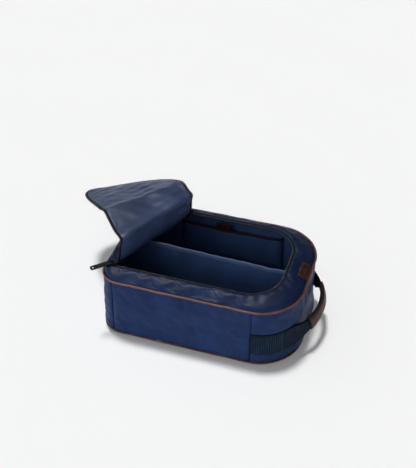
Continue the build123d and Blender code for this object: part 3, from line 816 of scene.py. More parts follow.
def fold_forward(fold):
    """Direction, with the lid open, in which the lid would run on flat past a fold."""
    line = fold_lines[fold][1]
    forward = np.array([line[1], -line[0], 0.0])
    for j in range(fold):
        forward = turned(forward, np.zeros(3), fold_axis[j], fold_angle[j])
    return forward


fold_bend = [turned(fold_forward(k), np.zeros(3), fold_axis[k], FOLD_LEAN[k] * fold_angle[k])
             * FOLD_REACH[k] for k in range(TIP_ZONE)]


def opened(points, zone):
    """Points of the closed lid moved to the open lid. Zone 0 stays down; zone k bends at fold k."""
    if zone == 0:
        return points
    k = zone - 1
    for j in range(k):
        points = turned(points, fold_pos[j], fold_axis[j], fold_angle[j])
    reach = fold_bend[k]
    low = np.zeros(points.shape[:-1])
    high = np.ones(points.shape[:-1])
    for _ in range(30):
        middle = (low + high) / 2
        trial = turned(points, fold_pos[k], fold_axis[k], middle * fold_angle[k])
        pulled = smooth(((trial - fold_pos[k]) @ reach) / (reach @ reach))
        low = np.where(pulled > middle, middle, low)
        high = np.where(pulled > middle, high, middle)
    return turned(points, fold_pos[k], fold_axis[k], (low + high) / 2 * fold_angle[k])


SETTLE_ROUNDS = 260
SETTLE_CAP = 11.0
CLOSED_LIFT = 4.2
CLOSED_SLIP = 9.0
LID_SETTLING = dict(slack=0.010, cap=2.0, gravity=0.2)


def shut(points, zone):
    """Points of the open lid where the finished piece carries them when the lid is closed."""
    if zone == 0:
        return points
    k = zone - 1
    reach = fold_bend[k]
    pulled = smooth(((points - fold_pos[k]) @ reach) / (reach @ reach))
    points = turned(points, fold_pos[k], fold_axis[k], -pulled * fold_angle[k])
    for j in reversed(range(k)):
        points = turned(points, fold_pos[j], fold_axis[j], -fold_angle[j])
    return points


def allowed_share(rest, shift, flats, zones):
    """How much of a shift each point of the open lid may have so that the lid still closes flat."""
    best = np.zeros(rest.shape[:2])
    for share in np.linspace(0, 1, 21)[1:]:
        fits = np.zeros(rest.shape[:2], bool)
        for zone in range(len(FLAP_BODIES)):
            rows = zones == zone
            closed = shut(rest[rows] + share * shift[rows], zone)
            slip = np.linalg.norm(closed[..., :2] - flats[rows], axis=2)
            fits[rows] = (np.abs(closed[..., 2] - COIL_Z) < CLOSED_LIFT) & (slip < CLOSED_SLIP)
        best = np.where(fits & (best > share - 0.075), share, best)
    for axis in (0, 1, 0, 1):
        lower = np.minimum(np.roll(best, 1, axis), np.roll(best, -1, axis))
        lower = np.minimum(best, lower)
        best = (best + lower) / 2
    for _ in range(8):
        best[1:-1] = (best[:-2] + best[1:-1] + best[2:]) / 3
        best[:, 1:-1] = (best[:, :-2] + best[:, 1:-1] + best[:, 2:]) / 3
    return best[..., None]


def lid_settling():
    """How the open lid's cloth rounds off its folds: closed plan places and the shift of each."""
    flats = []
    rest = []
    zones = []
    for zone in range(len(FLAP_BODIES)):
        flat = lid_grid(zone, -FABRIC_SETBACK)
        grid = opened(at_height(flat, COIL_Z), zone)
        skip = 1 if zone else 0
        flats.append(flat[skip:])
        rest.append(grid[skip:])
        zones += [zone] * len(rest[-1])
    zones = np.array(zones)
    flats = np.concatenate(flats)
    rest = np.concatenate(rest)
    step = np.linalg.norm(np.diff(rest, axis=0), axis=2)
    ahead = 1 / np.maximum(step[1:], 0.3)
    behind = 1 / np.maximum(step[:-1], 0.3)
    moved = rest.copy()
    for _ in range(SETTLE_ROUNDS):
        pull = (moved[2:] * ahead[..., None] + moved[:-2] * behind[..., None])
        pull = pull / (ahead + behind)[..., None] - moved[1:-1]
        moved[1:-1] += 0.5 * pull
    shift = moved - rest
    size = np.linalg.norm(shift, axis=2, keepdims=True)
    shift = shift * np.tanh(size / SETTLE_CAP) * SETTLE_CAP / np.maximum(size, 1e-6)
    shift = shift * allowed_share(rest, shift, flats, zones)
    held = np.zeros(rest.shape[:2])
    held[:3] = 1
    held[-2:] = 1
    held[:, :2] = 1
    held[:, -2:] = 1
    shift = settled(rest + shift, held, name="lid", **LID_SETTLING) - rest
    shift = shift * allowed_share(rest, shift, flats, zones)
    tree = KDTree(shift.shape[0] * shift.shape[1])
    for i, point in enumerate(flats.reshape(-1, 2)):
        tree.insert((*point, 0.0), i)
    tree.balance()
    return tree, shift.reshape(-1, 3)


def settle(flat_points):
    """The lid's settling shift at closed plan places, from its nearest known neighbours."""
    places = flat_points.reshape(-1, 2)
    found = np.zeros((len(places), 3))
    for i, point in enumerate(places):
        near = settle_tree.find_n((*point, 0.0), 5)
        weight = np.array([1 / (n[2] + 0.3) ** 2 for n in near])
        found[i] = weight @ settle_shift[[n[1] for n in near]] / weight.sum()
    return found.reshape(*flat_points.shape[:-1], 3)


def laid_open(points, zone):
    """Points of the closed lid on the open, settled lid."""
    return opened(points, zone) + settle(points[..., :2])


def bending(piece, zone):
    """Rides a piece of the lid's base on the root; any other piece gets its transform baked in place and follows
    no body.
    """
    if zone == 0:
        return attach(piece, "root")
    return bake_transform(piece)


def placed_on_lid(piece, zone, slot, *replaced):
    """Like placed, for a piece of the lid: the lid's base rides on the root and any other piece is baked in place,
    without following its fold; its slot is not used.
    """
    bending(piece, zone)
    if replaced:
        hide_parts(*replaced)


ZIP_STEP = 1.5


def zip_outline(offset, low_x=ZIP_START_X):
    """The zip's U, from its near end round the tip to its far end, moved outwards by offset."""
    radius = ZIP_CORNER + offset
    half = ZIP_HALF_WIDTH + offset
    high_x = ZIP_TIP_X + offset
    side = max(2, int((high_x - radius - low_x) / ZIP_STEP))
    turn = np.linspace(0, math.pi / 2, int(ZIP_CORNER * math.pi / 2 / ZIP_STEP))
    straight = np.linspace(low_x, high_x - radius, side, endpoint=False)
    near = np.c_[straight, np.full(side, -half)]
    near_bend = np.c_[high_x - radius + radius * np.sin(turn), -half + radius * (1 - np.cos(turn))]
    end = np.linspace(-(half - radius), half - radius, int(2 * (half - radius) / ZIP_STEP))[1:-1]
    tip = np.c_[np.full(len(end), high_x), end]
    return np.concatenate([near, near_bend, tip, (near_bend * [1, -1])[::-1], (near * [1, -1])[::-1]])


def beyond(points, fold):
    """How far flat points lie past a fold line, towards the tip."""
    point, line = fold_lines[fold]
    return (points[:, 0] - point[0]) * line[1] - (points[:, 1] - point[1]) * line[0]


def crossings(outline, point, line):
    """Fractional places where an outline crosses a line, near side first."""
    side = (outline[:, 0] - point[0]) * line[1] - (outline[:, 1] - point[1]) * line[0]
    found = np.nonzero(side[:-1] * side[1:] <= 0)[0]
    places = [i + side[i] / (side[i] - side[i + 1]) for i in found if side[i] != side[i + 1]]
    return places[0], places[-1]


def on_outline(outline, place):
    """Points of an open outline at fractional places."""
    index = np.arange(len(outline))
    return np.stack([np.interp(place, index, outline[:, i]) for i in range(2)], axis=-1)


def zone_stretches(outline, zone):
    """The stretches of an outline that belong to one zone, as pairs of fractional places."""
    last = len(outline) - 1
    inner = (0.0, float(last)) if zone == 0 else crossings(outline, *fold_lines[zone - 1])
    if zone == TIP_ZONE:
        return [inner]
    outer = crossings(outline, *fold_lines[zone])
    return [(inner[0], outer[0]), (outer[1], inner[1])]


def lid_grid(zone, offset, columns=LID_COLUMNS, step=3.0):
    """Flat grid over one zone of the lid, rows from its own fold towards the tip, columns near to far."""
    edge = zip_outline(offset)
    if zone == 0:
        first = (np.array([ZIP_START_X, 0.0]), np.array([0.0, 1.0]))
    else:
        first = fold_lines[zone - 1]
    ends = []
    if zone == TIP_ZONE:
        point, line = first
        forward = np.array([line[1], -line[0]])
        furthest = beyond(edge, TIP_ZONE - 1).max() - 0.05
        for share in np.sin(np.linspace(0, math.pi / 2, 34)):
            ends.append((point + forward * furthest * share, line))
    else:
        last = fold_lines[zone]
        sides = np.array([-ZIP_HALF_WIDTH, ZIP_HALF_WIDTH])

        def at_sides(line):
            return line[0][0] + (sides - line[0][1]) * line[1][0] / line[1][1]
        first_x = at_sides(first)
        last_x = at_sides(last)
        rows = max(8, int(np.abs(last_x - first_x).max() / step))
        for share in np.linspace(0, 1, rows):
            x = mix(first_x, last_x, share)
            line = unit(np.array([x[1] - x[0], sides[1] - sides[0]]))
            ends.append((np.array([x.mean(), 0.0]), line))
    grid = []
    for i, (point, line) in enumerate(ends):
        if zone == 0 and i == 0:
            pair = np.array([edge[0], edge[-1]])
        else:
            pair = on_outline(edge, np.array(crossings(edge, point, line)))
        share = (1 - np.cos(np.linspace(0, math.pi, columns))) / 2
        share = mix(share, np.linspace(0, 1, columns), 0.5)
        grid.append(mix(pair[0], pair[1], share[:, None]))
    return np.array(grid)


def edge_distance(flat):
    """How far flat lid points lie inside the edge of the lid's cloth."""
    edge = zip_outline(-FABRIC_SETBACK)[::2]
    gap = flat[..., None, :] - edge
    near = np.sqrt((gap ** 2).sum(-1).min(-1))
    return np.minimum(near, 60.0)


settle_tree, settle_shift = lid_settling()
COIL_OFFSET = 2.35
CLOTH_GAP = 0.9
SHELL_RISE = 0.8
SHELL_RELIEF = 0.6
LINING_DROP = 1.6
LINING_RELIEF = 0.9


def lid_relief(flat, seed):
    """Soft height of the lid's cloth: slack between the edges and long creases along the folds."""
    u = flat[..., 0]
    v = flat[..., 1]
    line = fold_lines[1][1]
    across = u * line[1] - v * line[0]
    along = u * line[0] + v * line[1]
    inside = edge_distance(flat)
    hold = 1 - np.exp(-inside / 16)
    slack = 1.3 * waves(seed, 75)(u, v) + 0.4 * waves(seed + 1, 30)(u, v)
    creases = 0.8 * waves(seed + 2, 24)(across, 0.22 * along)
    pucker = 0.35 * np.exp(-inside / 9) * waves(seed + 3, 13)(u, v)
    return hold * (slack + creases) + pucker * (1 - np.exp(-inside / 2))


def lid_surface(top):
    """One cloth of the whole open lid as a grid, and the first and last row of each zone."""
    grids = []
    spans = []
    start = 0
    for zone in range(len(FLAP_BODIES)):
        flat = lid_grid(zone, -FABRIC_SETBACK)
        relief = lid_relief(flat, 81)
        inside = edge_distance(flat)
        if top:
            height = COIL_Z + CLOTH_GAP + SHELL_RISE * (1 - np.exp(-inside / 6)) + SHELL_RELIEF * relief
        else:
            height = COIL_Z - CLOTH_GAP - LINING_DROP * (1 - np.exp(-inside / 5)) + LINING_RELIEF * relief
        grid = laid_open(np.dstack([flat, height]), zone)
        grids.append(grid[1:] if zone else grid)
        last = start + len(grid) - 1
        spans.append((start, last))
        start = last
    return np.concatenate(grids), spans


def lid_cloth(name, top, material, slot, node):
    """One cloth of the lid, split at its folds into pieces that share their edges and shading."""
    whole, spans = lid_surface(top)
    if top:
        whole = whole[:, ::-1]
    normals = grid_normals(whole, False)
    for zone, (first, last) in enumerate(spans):
        title = ZONE_TITLES[zone]
        grid = whole[first:last + 1]
        face = normals[first:last + 1]
        piece = sheet_object(f"{title}_{name}", grid, material, 0.5, normals=face)
        flat_face = face.reshape(-1, 3)
        piece.data.normals_split_custom_set_from_vertices(np.r_[flat_face, -flat_face].tolist())
        flat, area = cut_size(at_height(lid_grid(zone, -FABRIC_SETBACK), 0.0))
        placed_on_lid(piece, zone, slot, f"{title}_{node}")


lid_cloth("cloth", True, nylon, "navy_nylon", "shell")
# The lid's lining uses the lighter copy of the lining cloth: painted light.
lid_cloth("inner_cloth", False, lid_lining_painted_light_cloth, "navy_lining", "lining")


# ---------------------------------------------------------------- zip

TAPE_HALF = 0.4
TAPE_EDGE = 10.5
COIL_PITCH = 1.7
COIL_RADIUS = 1.1
COIL_RISE = 0.95
COIL_WIRE = 0.42
COIL_SAMPLES = 8
WIRE_SIDES = 5
TAPE_LIFT = 0.1
TAPE_UNDER_COIL = COIL_REACH - 1.4


def tape_strip(name, zone, low, high, side, z):
    """Flat ribbons of zip tape between two offsets, as one object over the stretches of a zone."""
    points = []
    quads = []
    uvs = []
    start = 0
    stretches = [None] if zone is None else range(len(zone_stretches(zip_outline(low), zone)))
    for index in stretches:
        rows = []
        for offset in np.linspace(low, high, 5):
            outline = zip_outline(offset)
            if zone is None:
                first, last = 0.0, len(outline) - 1.0
            else:
                first, last = zone_stretches(outline, zone)[index]
            columns = max(6, int(420 * abs(last - first) / len(outline)))
            if rows:
                columns = rows[0].shape[0]
            rows.append(on_outline(outline, np.linspace(first, last, columns)))
        for face, height in ((0, z + TAPE_HALF), (1, z - TAPE_HALF)):
            grid = at_height(np.array(rows), height)
            if zone is not None:
                grid = laid_open(grid, zone)
            flip = (face == 1) == (side > 0)
            down, along = lengths(grid)
            more, places = grid_faces(*grid.shape[:2], False, start, not flip)
            quads += more
            uvs += [(along[c] * MM, down[r] * MM) for square in places for r, c in square]
            points.append(grid.reshape(-1, 3))
            start += len(points[-1])
    return new_object(name, np.concatenate(points), quads, tape_cloth, uvs)


def coil_turns(name, zone, offset, hand):
    """The coil of one zip half: a helix of thin wire laid along its outline."""
    outline = zip_outline(offset)
    distance = running_length(outline)
    stretches = [(0.0, float(len(outline) - 1))] if zone is None else zone_stretches(outline, zone)
    points = []
    quads = []
    start = 0
    for first, last in stretches:
        span = np.interp([first, last], np.arange(len(outline)), distance)
        turns = max(1, int((span[1] - span[0]) / COIL_PITCH))
        s = np.linspace(span[0], span[1], turns * COIL_SAMPLES + 1)
        centre = np.stack([np.interp(s, distance, outline[:, i]) for i in range(2)], axis=1)
        heading = unit(np.gradient(centre, axis=0))
        out = np.c_[heading[:, 1], -heading[:, 0]]
        phase = 2 * math.pi * np.arange(len(s)) / COIL_SAMPLES
        sway = squared_off(np.cos(phase), 0.6)
        path = np.c_[centre + out * hand * (COIL_RADIUS * sway)[:, None],
                     COIL_Z + COIL_RISE * np.sin(phase)]
        grid = tube_grid(path, COIL_WIRE, WIRE_SIDES, up=(0.02, 0.03, 1))[:, ::-1]
        if zone is not None:
            grid = laid_open(grid, zone)
        more, _ = grid_faces(len(grid), WIRE_SIDES, True, start)
        quads += more
        points.append(grid.reshape(-1, 3))
        start += len(points[-1])
    return new_object(name, np.concatenate(points), quads, coil_plastic)


outer_tape = tape_strip("margin_zip_tape", None, TAPE_UNDER_COIL, TAPE_EDGE, 1, COIL_Z + TAPE_LIFT)
placed(outer_tape, "root", "zip_tape", "zip_tape")
outer_coil = coil_turns("margin_zip_coil", None, COIL_OFFSET, 1)
placed(outer_coil, "root", "zip_coil", "zip_coil")
for zone, title in enumerate(ZONE_TITLES):
    tape = tape_strip(f"{title}_zip_tape", zone, -TAPE_UNDER_COIL, -TAPE_EDGE, -1, COIL_Z + TAPE_LIFT)
    placed_on_lid(tape, zone, "zip_tape", f"{title}_zip")
    coil = coil_turns(f"{title}_zip_coil", zone, -COIL_OFFSET, -1)
    placed_on_lid(coil, zone, "zip_coil")


# ---------------------------------------------------------------- inside

def lined(grid, seed, size):
    """Lining cloth lying loosely on a grid."""
    down, along = lengths(grid)
    s, z = np.meshgrid(along, down)
    edge = np.minimum(z, down[-1] - z)
    off = size * (waves(seed, 60)(s, z) + 0.5 * waves(seed + 1, 22)(s, z)) * (1 - np.exp(-edge / 8))
    return grid + grid_normals(grid, False) * off[..., None]


lining_rows = np.linspace(RIM_Z - 1.0, FLOOR_Z - 0.4, 30)
lining_grid = np.array([body_loop(z, -LINING_SETBACK) for z in lining_rows])
lining_grid = np.concatenate([lining_grid, lining_grid[:, :1]], axis=1)
wall_lining = cloth_sheet("wall_lining_cloth", lined(lining_grid, 91, 0.45), lining_cloth, 0.0)
placed(wall_lining, "root", "navy_lining", "wall_lining")

SPINE_LOW_X = -120
SPINE_HIGH_X = 110


def spine(z):
    """A narrow loop along the middle of the bag, where the rows of a flat panel meet."""
    return loop(SPINE_LOW_X, SPINE_HIGH_X, 2.0, 1.0, 1.5, z)


floor_edge = body_loop(FLOOR_Z, -LINING_SETBACK)
floor_rows = np.array([mix(floor_edge, spine(FLOOR_Z), share) for share in np.linspace(0, 1, 22)])
floor_cloth = cloth_sheet("floor_lining_cloth", floor_rows, lining_cloth, 0.0, True)
placed(floor_cloth, "root", "navy_lining", "floor_lining")

BASE_INSET = 14.0
foot_rows = [spine(0.0), mix(spine(0.0), body_loop(0.0, -BASE_INSET), 0.5),
             body_loop(0.0, -BASE_INSET - 3), body_loop(0.0, -BASE_INSET + 2) + [0, 0, 0.5],
             body_loop(FOOT_Z, -5) + [0, 0, -3.2], body_loop(FOOT_Z, -0.6) + [0, 0, -0.7]]
foot_rows = np.maximum(spline_rows(foot_rows, 7), [-1e9, -1e9, 0.0])
foot_cloth = cloth_sheet("bottom_cloth", foot_rows, nylon, 0.0, True)
placed(foot_cloth, "root", "navy_nylon", "bottom_panel")

divider_low, divider_high = corners("divider_near_skin")
binding_low, binding_high = corners("divider_binding")
DIVIDER_PAD = 2.6
DIVIDER_HEM = 8.0
DIVIDER_BOW = 3.0
DIVIDER_DIP = 1.4
END_DROP = 14.0


def divider_top(x):
    """Height of the divider's top edge."""
    low_fall = smooth((binding_low[0] + 6 - x) / (binding_low[0] - divider_low[0]))
    high_fall = smooth((x - binding_high[0] + 6) / (divider_high[0] - binding_high[0]))
    return divider_high[2] - END_DROP * (low_fall + high_fall) - DIVIDER_DIP * np.sin(
        math.pi * (x - divider_low[0]) / (divider_high[0] - divider_low[0]))


def divider_grid(low_share, extra, columns=120, face_rows=40):
    """Both faces of the divider as one sheet over its top edge, from a share of its height upwards."""
    ends = HALF_LENGTH - LINING_SETBACK
    x = np.linspace(-ends, ends, columns)
    up = np.linspace(low_share, 1, face_rows)
    rows = []
    slack = waves(101, 70)
    fine = waves(102, 26)
    slant = waves(103, 24)
    for side, shares in ((-1, up), (1, up[::-1])):
        for share in shares:
            top = divider_top(x)
            z = FLOOR_Z + share * (top - FLOOR_Z)
            from_top = (1 - share) * (top - FLOOR_Z)
            pad = (0.9 + DIVIDER_PAD * (1 - np.exp(-from_top / 10))
                   * (1 - np.exp(-(z - FLOOR_Z) / 9))) + extra
            round_off = np.sqrt(np.clip(from_top / 2.2, 0, 1))
            bow = DIVIDER_BOW * np.sin(1.5 * math.pi * (x + ends) / (2 * ends) + 0.4) * share ** 1.5
            ripple = (1.1 * slack(x, 1.2 * z) + 0.4 * fine(x + 0.5 * z, z)) * share
            folds = 1.5 * slant(x + 0.7 * z, 0.12 * z) * smooth((x + 20) / 90)
            ripple = ripple + folds * share * (1.25 - share)
            rows.append(np.c_[x, bow + ripple * 0.8 + side * pad * round_off, z])
    return np.array(rows)


divider = sheet_object("divider_cloth", divider_grid(0.0, 0.0), lining_cloth)
placed(divider, "root", "navy_lining", "divider_near_skin", "divider_far_skin", "divider_core")
hem_share = 1 - DIVIDER_HEM / (divider_high[2] - FLOOR_Z)
hem = cloth_sheet("divider_hem", divider_grid(hem_share, 0.55, face_rows=8), hem_cloth, 0.4)
placed(hem, "root", "navy_lining", "divider_binding")

pocket_low, pocket_high = corners("pocket_panel")
POCKET_EASE = 6.0
POCKET_SETBACK = 6.2
POCKET_SAG = 1.2


def pocket_sheet(z_values, out, columns=90):
    """Front of the slip pocket, tucked to the wall at its ends and foot and gaping at its mouth."""
    x = np.linspace(pocket_low[0], pocket_high[0], columns)
    back = HALF_WIDTH - POCKET_SETBACK
    rows = []
    for z in z_values:
        end = np.minimum(x - pocket_low[0], pocket_high[0] - x)
        tuck = (1 - np.exp(-end / POCKET_EASE)) * (1 - math.exp(-(z - pocket_low[2]) / 7))
        gape = 0.55 + 0.45 * (z - pocket_low[2]) / (pocket_high[2] - pocket_low[2])
        sag = POCKET_SAG * np.sin(math.pi * (x - pocket_low[0]) / (pocket_high[0] - pocket_low[0]))
        deep = (back - pocket_low[1]) * tuck * gape + out
        rows.append(np.c_[x, back - deep - 0.6 * waves(105, 50)(x, z) * tuck, z - sag * gape])
    return np.array(rows)


pocket_rows = pocket_sheet(np.linspace(pocket_low[2], pocket_high[2], 26), 0.0)
pocket = cloth_sheet("pocket_cloth", pocket_rows, lining_cloth, 0.7)
placed(pocket, "root", "navy_lining", "pocket_panel")
bind_low, bind_high = corners("pocket_binding")
binding = sheet_object("pocket_leather_binding",
                       pocket_sheet(np.linspace(mix(bind_low[2], bind_high[2], 0.3), bind_high[2], 7),
                                    0.8), binding_leather, 2.2)
placed(binding, "root", "brown_leather", "pocket_binding")
label_low, label_high = corners("pocket_label")
LABEL_COLUMNS = 16
label_x = np.linspace(label_low[0], label_high[0], LABEL_COLUMNS)
label_rows = [np.c_[label_x, np.full(LABEL_COLUMNS, label_low[1] - 0.3) + 0.4 * np.sin(label_x / 7),
                    np.full(LABEL_COLUMNS, z)] for z in np.linspace(label_low[2], label_high[2], 12)]
label = sheet_object("pocket_leather_label", np.array(label_rows), binding_leather, 0.9)
placed(label, "root", "brown_leather", "pocket_label")


# ---------------------------------------------------------------- leather patch

patch_low, patch_high = corners("leather_patch")
PATCH_CHAMFER = 4.0
PATCH_THICKNESS = 1.3
PATCH_BORDER = 1.9
PATCH_STAMP = 5.2
margin_tree = BVHTree.FromObject(margin, bpy.context.evaluated_depsgraph_get())


def on_margin(x, y):
    """Point on the margin's cloth under a plan position, and its normal."""
    hit, normal, _, _ = margin_tree.ray_cast(Vector((x * MM, y * MM, 1.0)), Vector((0, 0, -1)))
    return np.array(hit) / MM, np.array(normal)


def patch_grid(inset, lift):
    """Chamfered patch laid on the margin, as a grid inset from its edge."""
    xs = np.linspace(patch_low[0] + inset, patch_high[0] - inset, 15)
    grid = []
    for x in xs:
        side = min(x - patch_low[0] - inset, patch_high[0] - inset - x)
        half = (patch_high[1] - patch_low[1]) / 2 - inset - max(0.0, PATCH_CHAMFER - side)
        middle = (patch_high[1] + patch_low[1]) / 2
        row = []
        for y in np.linspace(middle + half, middle - half, 27):
            point, normal = on_margin(x, y)
            row.append(point + normal * lift)
        grid.append(row)
    return np.array(grid)


patch_body = sheet_object("leather_patch_body", patch_grid(0.0, PATCH_THICKNESS), brown,
                          PATCH_THICKNESS - 0.2)
placed(patch_body, "root", "brown_leather", "leather_patch")
patch_edge = patch_grid(PATCH_BORDER, PATCH_THICKNESS + 0.05)
border = np.concatenate([patch_edge[0], patch_edge[1:, -1], patch_edge[-1, ::-1][1:],
                         patch_edge[::-1, 0][1:]])
border_up = np.tile(grid_normals(patch_edge, False)[7, 13], (len(border), 1))
patch_stitches = stitch_row("patch_stitches", border, border_up, brown_thread, 2.4, 1.9, 0.36)
placed(patch_stitches, "root", "thread")
patch_rows = patch_grid(PATCH_STAMP, PATCH_THICKNESS + 0.02)
for row, (first, last) in ((4, (8, 19)), (8, (4, 23)), (11, (6, 21))):
    line = patch_rows[row, first:last]
    up = np.tile(border_up[0], (len(line), 1))
    stamp = stitch_row(f"patch_stamp_{row}", line, up, brown_thread, 2.2, 1.5, 0.3)
    placed(stamp, "root", "thread")


# ---------------------------------------------------------------- carry handle

TACK_X = joints["handle_swing"]["pos_m"][0] / MM
LOOP_STRAIGHT = 24.0
HANDLE_RISE = math.radians(14.0)
WEBBING_GAP = 0.9
FOLDED_HALF = 11.0
WEBBING_HALF_THICK = 0.75
HANDLE_SAMPLES = 231
WEBBING_RIPPLE = 0.25
corner_x = HALF_LENGTH - HANDLE_CORNER
corner_y = HALF_WIDTH - HANDLE_CORNER
tail_radius = HANDLE_CORNER + FLARE * (RIM_Z - TACK_Z) / (RIM_Z - FOOT_Z) + WEBBING_GAP
tack_angle = math.acos((TACK_X - corner_x) / tail_radius)
tack_y = corner_y + tail_radius * math.sin(tack_angle)
loop_radius = (tack_y - LOOP_STRAIGHT * math.cos(tack_angle)) / math.sin(tack_angle)
loop_x = TACK_X + LOOP_STRAIGHT * math.sin(tack_angle) - loop_radius * math.cos(tack_angle)
arc_end = loop_radius * tack_angle
tack_end = arc_end + LOOP_STRAIGHT
seam_angle = math.acos((HANDLE_SEAM_X + 0.3 - corner_x) / tail_radius)
path_end = tack_end + tail_radius * (seam_angle - tack_angle)
tilt_end_x = TACK_X + LOOP_STRAIGHT + 3.0


def handle_place(s):
    """Centre line of the handle's webbing at distance s from its middle: point and outward normal."""
    side = np.sign(s)
    d = np.abs(s)
    a = d / loop_radius
    arc = np.stack([loop_x + loop_radius * np.cos(a), loop_radius * np.sin(a)], axis=-1)
    bend = np.array([loop_x + loop_radius * math.cos(tack_angle), loop_radius * math.sin(tack_angle)])
    straight = bend + (d - arc_end)[:, None] * [-math.sin(tack_angle), math.cos(tack_angle)]
    b = tack_angle + (d - tack_end) / tail_radius
    wall = np.stack([corner_x + tail_radius * np.cos(b), corner_y + tail_radius * np.sin(b)], axis=-1)
    flat = np.where((d < arc_end)[:, None], arc, np.where((d < tack_end)[:, None], straight, wall))
    face = np.where(d < arc_end, a, np.where(d < tack_end, tack_angle, b))
    flat[:, 1] *= side
    normal = np.stack([np.cos(face), side * np.sin(face)], axis=-1)
    return flat, normal


def tilted(points):
    """Points of the level loop tilted up about the tacks, more and more beyond them."""
    share = smooth((points[..., 0] - TACK_X) / (tilt_end_x - TACK_X))
    return turned(points, np.array([TACK_X, 0, TACK_Z]), (0, -1, 0), share * HANDLE_RISE)


GRIP_HALF = (corners("handle_grip")[1][1] - corners("handle_grip")[0][1]) / 2
grip_reach = loop_radius * math.asin(min(0.99, GRIP_HALF / loop_radius))


def webbing_section(fold, samples=45):
    """Middle line of the webbing's cross-section, flat at fold 0 and folded round at fold 1."""
    q = np.linspace(-1, 1, samples) * WEBBING_HEIGHT / 2
    flat_half = mix(WEBBING_HEIGHT / 2, FOLDED_HALF - 1.6, fold)
    curl = math.pi * fold * smooth((np.abs(q) - flat_half) / 5.5)
    step = q[1] - q[0]
    v = np.cumsum(np.cos(curl)) * step
    v = v - v[samples // 2]
    n = -np.cumsum(np.sin(curl) * np.sign(q)) * step
    n = n - n[samples // 2]
    return v, n


handle_s = np.linspace(-path_end, path_end, HANDLE_SAMPLES)
flat_path, path_normal = handle_place(handle_s)
fold_share = smooth((tack_end + 2 - np.abs(handle_s)) / (tack_end - grip_reach + 2))
web = []
for (px, py), (nx, ny), fold, s in zip(flat_path, path_normal, fold_share, handle_s):
    v, n = webbing_section(fold)
    on_wall = smooth((abs(s) - tack_end + 6) / 8)
    lean = on_wall * FLARE * -v / (RIM_Z - FOOT_Z)
    out = n + lean + WEBBING_RIPPLE * fold * np.sin(s / 9)
    web.append(np.c_[px + nx * out, py + ny * out, TACK_Z + v])
web = tilted(np.array(web).transpose(1, 0, 2))
web = web + grid_normals(web, False) * WEBBING_HALF_THICK
webbing = sheet_object("handle_webbing_strap", web, webbing_cloth, 2 * WEBBING_HALF_THICK)
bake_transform(webbing)
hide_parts("handle_webbing", "handle_near_tail", "handle_far_tail")

LADDER_ROWS = 12
LADDER_PITCH = math.radians(2.9)
LADDER_INSET = 2.5
LADDER_SAMPLES = 24
# pitch, length and radius of the stitches
TIGHT_STITCH = (1.1, 1.6, 0.5)
LADDER_STITCH = (3.0, 2.1, 0.42)
ladder = []
for side in (-1, 1):
    for row in range(-1, LADDER_ROWS):
        s = side * (tack_end + tail_radius * (row * LADDER_PITCH + math.radians(4)))
        flat, normal = handle_place(np.array([s]))
        z = TACK_Z + np.linspace(-1, 1, LADDER_SAMPLES) * (WEBBING_HEIGHT / 2 - LADDER_INSET)
        lean = FLARE * (TACK_Z - z) / (RIM_Z - FOOT_Z) + WEBBING_HALF_THICK
        path = np.c_[flat[0] + normal[0] * lean[:, None], z]
        up = np.tile([*normal[0], 0.0], (LADDER_SAMPLES, 1))
        stitch = TIGHT_STITCH if row < 0 else LADDER_STITCH
        ladder.append(stitch_row(f"ladder_{side}_{row}", path, up, light_thread, *stitch))
bpy.ops.object.select_all(action="DESELECT")
for row in ladder:
    row.select_set(True)
bpy.context.view_layer.objects.active = ladder[0]
bpy.ops.object.join()
ladder[0].name = "webbing_stitches"
placed(ladder[0], "root", "thread", "handle_stitching")

GRIP_THICK = 3.6
GRIP_TALL = 12.4
GRIP_WAIST = 0.78
GRIP_SIDES = 36
GRIP_END_TAPER = 0.10
GRIP_SETBACK = 0.8
grip_s = np.linspace(-grip_reach, grip_reach, 61)
grip_flat, grip_normal = handle_place(grip_s + 1e-6)
turn = ring_angles(GRIP_SIDES)
square_n = squared_off(np.cos(turn), 0.55)
square_v = squared_off(np.sin(turn), 0.45)
grip_grid = []
for (px, py), (nx, ny), s in zip(grip_flat, grip_normal, grip_s):
    end = 1 - GRIP_END_TAPER * smooth((abs(s) - grip_reach + 5) / 5)
    thick = GRIP_THICK * end * (1 + 0.03 * math.sin(s / 6.0))
    waist = mix(GRIP_WAIST, 1.0, smooth(np.array(abs(s) / grip_reach)) ** 2)
    tall = GRIP_TALL * waist * mix(end, 1, 0.6) * (1 + 0.012 * math.sin(s / 11.0))
    out = -GRIP_SETBACK + thick * square_n
    grip_grid.append(np.c_[px + nx * out, py + ny * out, TACK_Z + tall * square_v])
grip_grid = tilted(np.array(grip_grid))
grip = sheet_object("handle_grip_leather", grip_grid, brown, 1.2, wrap=True)
placed(grip, "handle", "brown_leather", "handle_grip")
grip_normals = grid_normals(grip_grid, True)
for column in (4, 32):
    line = stitch_row(f"grip_stitches_{column}", grip_grid[2:-2, column], grip_normals[2:-2, column],
                      brown_thread, 2.9, 2.1, 0.3)
    placed(line, "handle", "thread")


# ---------------------------------------------------------------- CAD nodes that stay

kept_materials = {
    "foam": foam_plastic, "board": board_plastic, "dark_metal": gunmetal, "cord": filler,
    "thread": navy_thread, "zip_coil": coil_plastic,
}
for part in frame["record"]["subparts"]:
    node = nodes[part["node"]]
    if node.hide_render:
        continue
    for material_slot in node.material_slots:
        material_slot.material = kept_materials.get(part["material_slot"], foam_plastic)


# ---------------------------------------------------------------- floor, light and camera

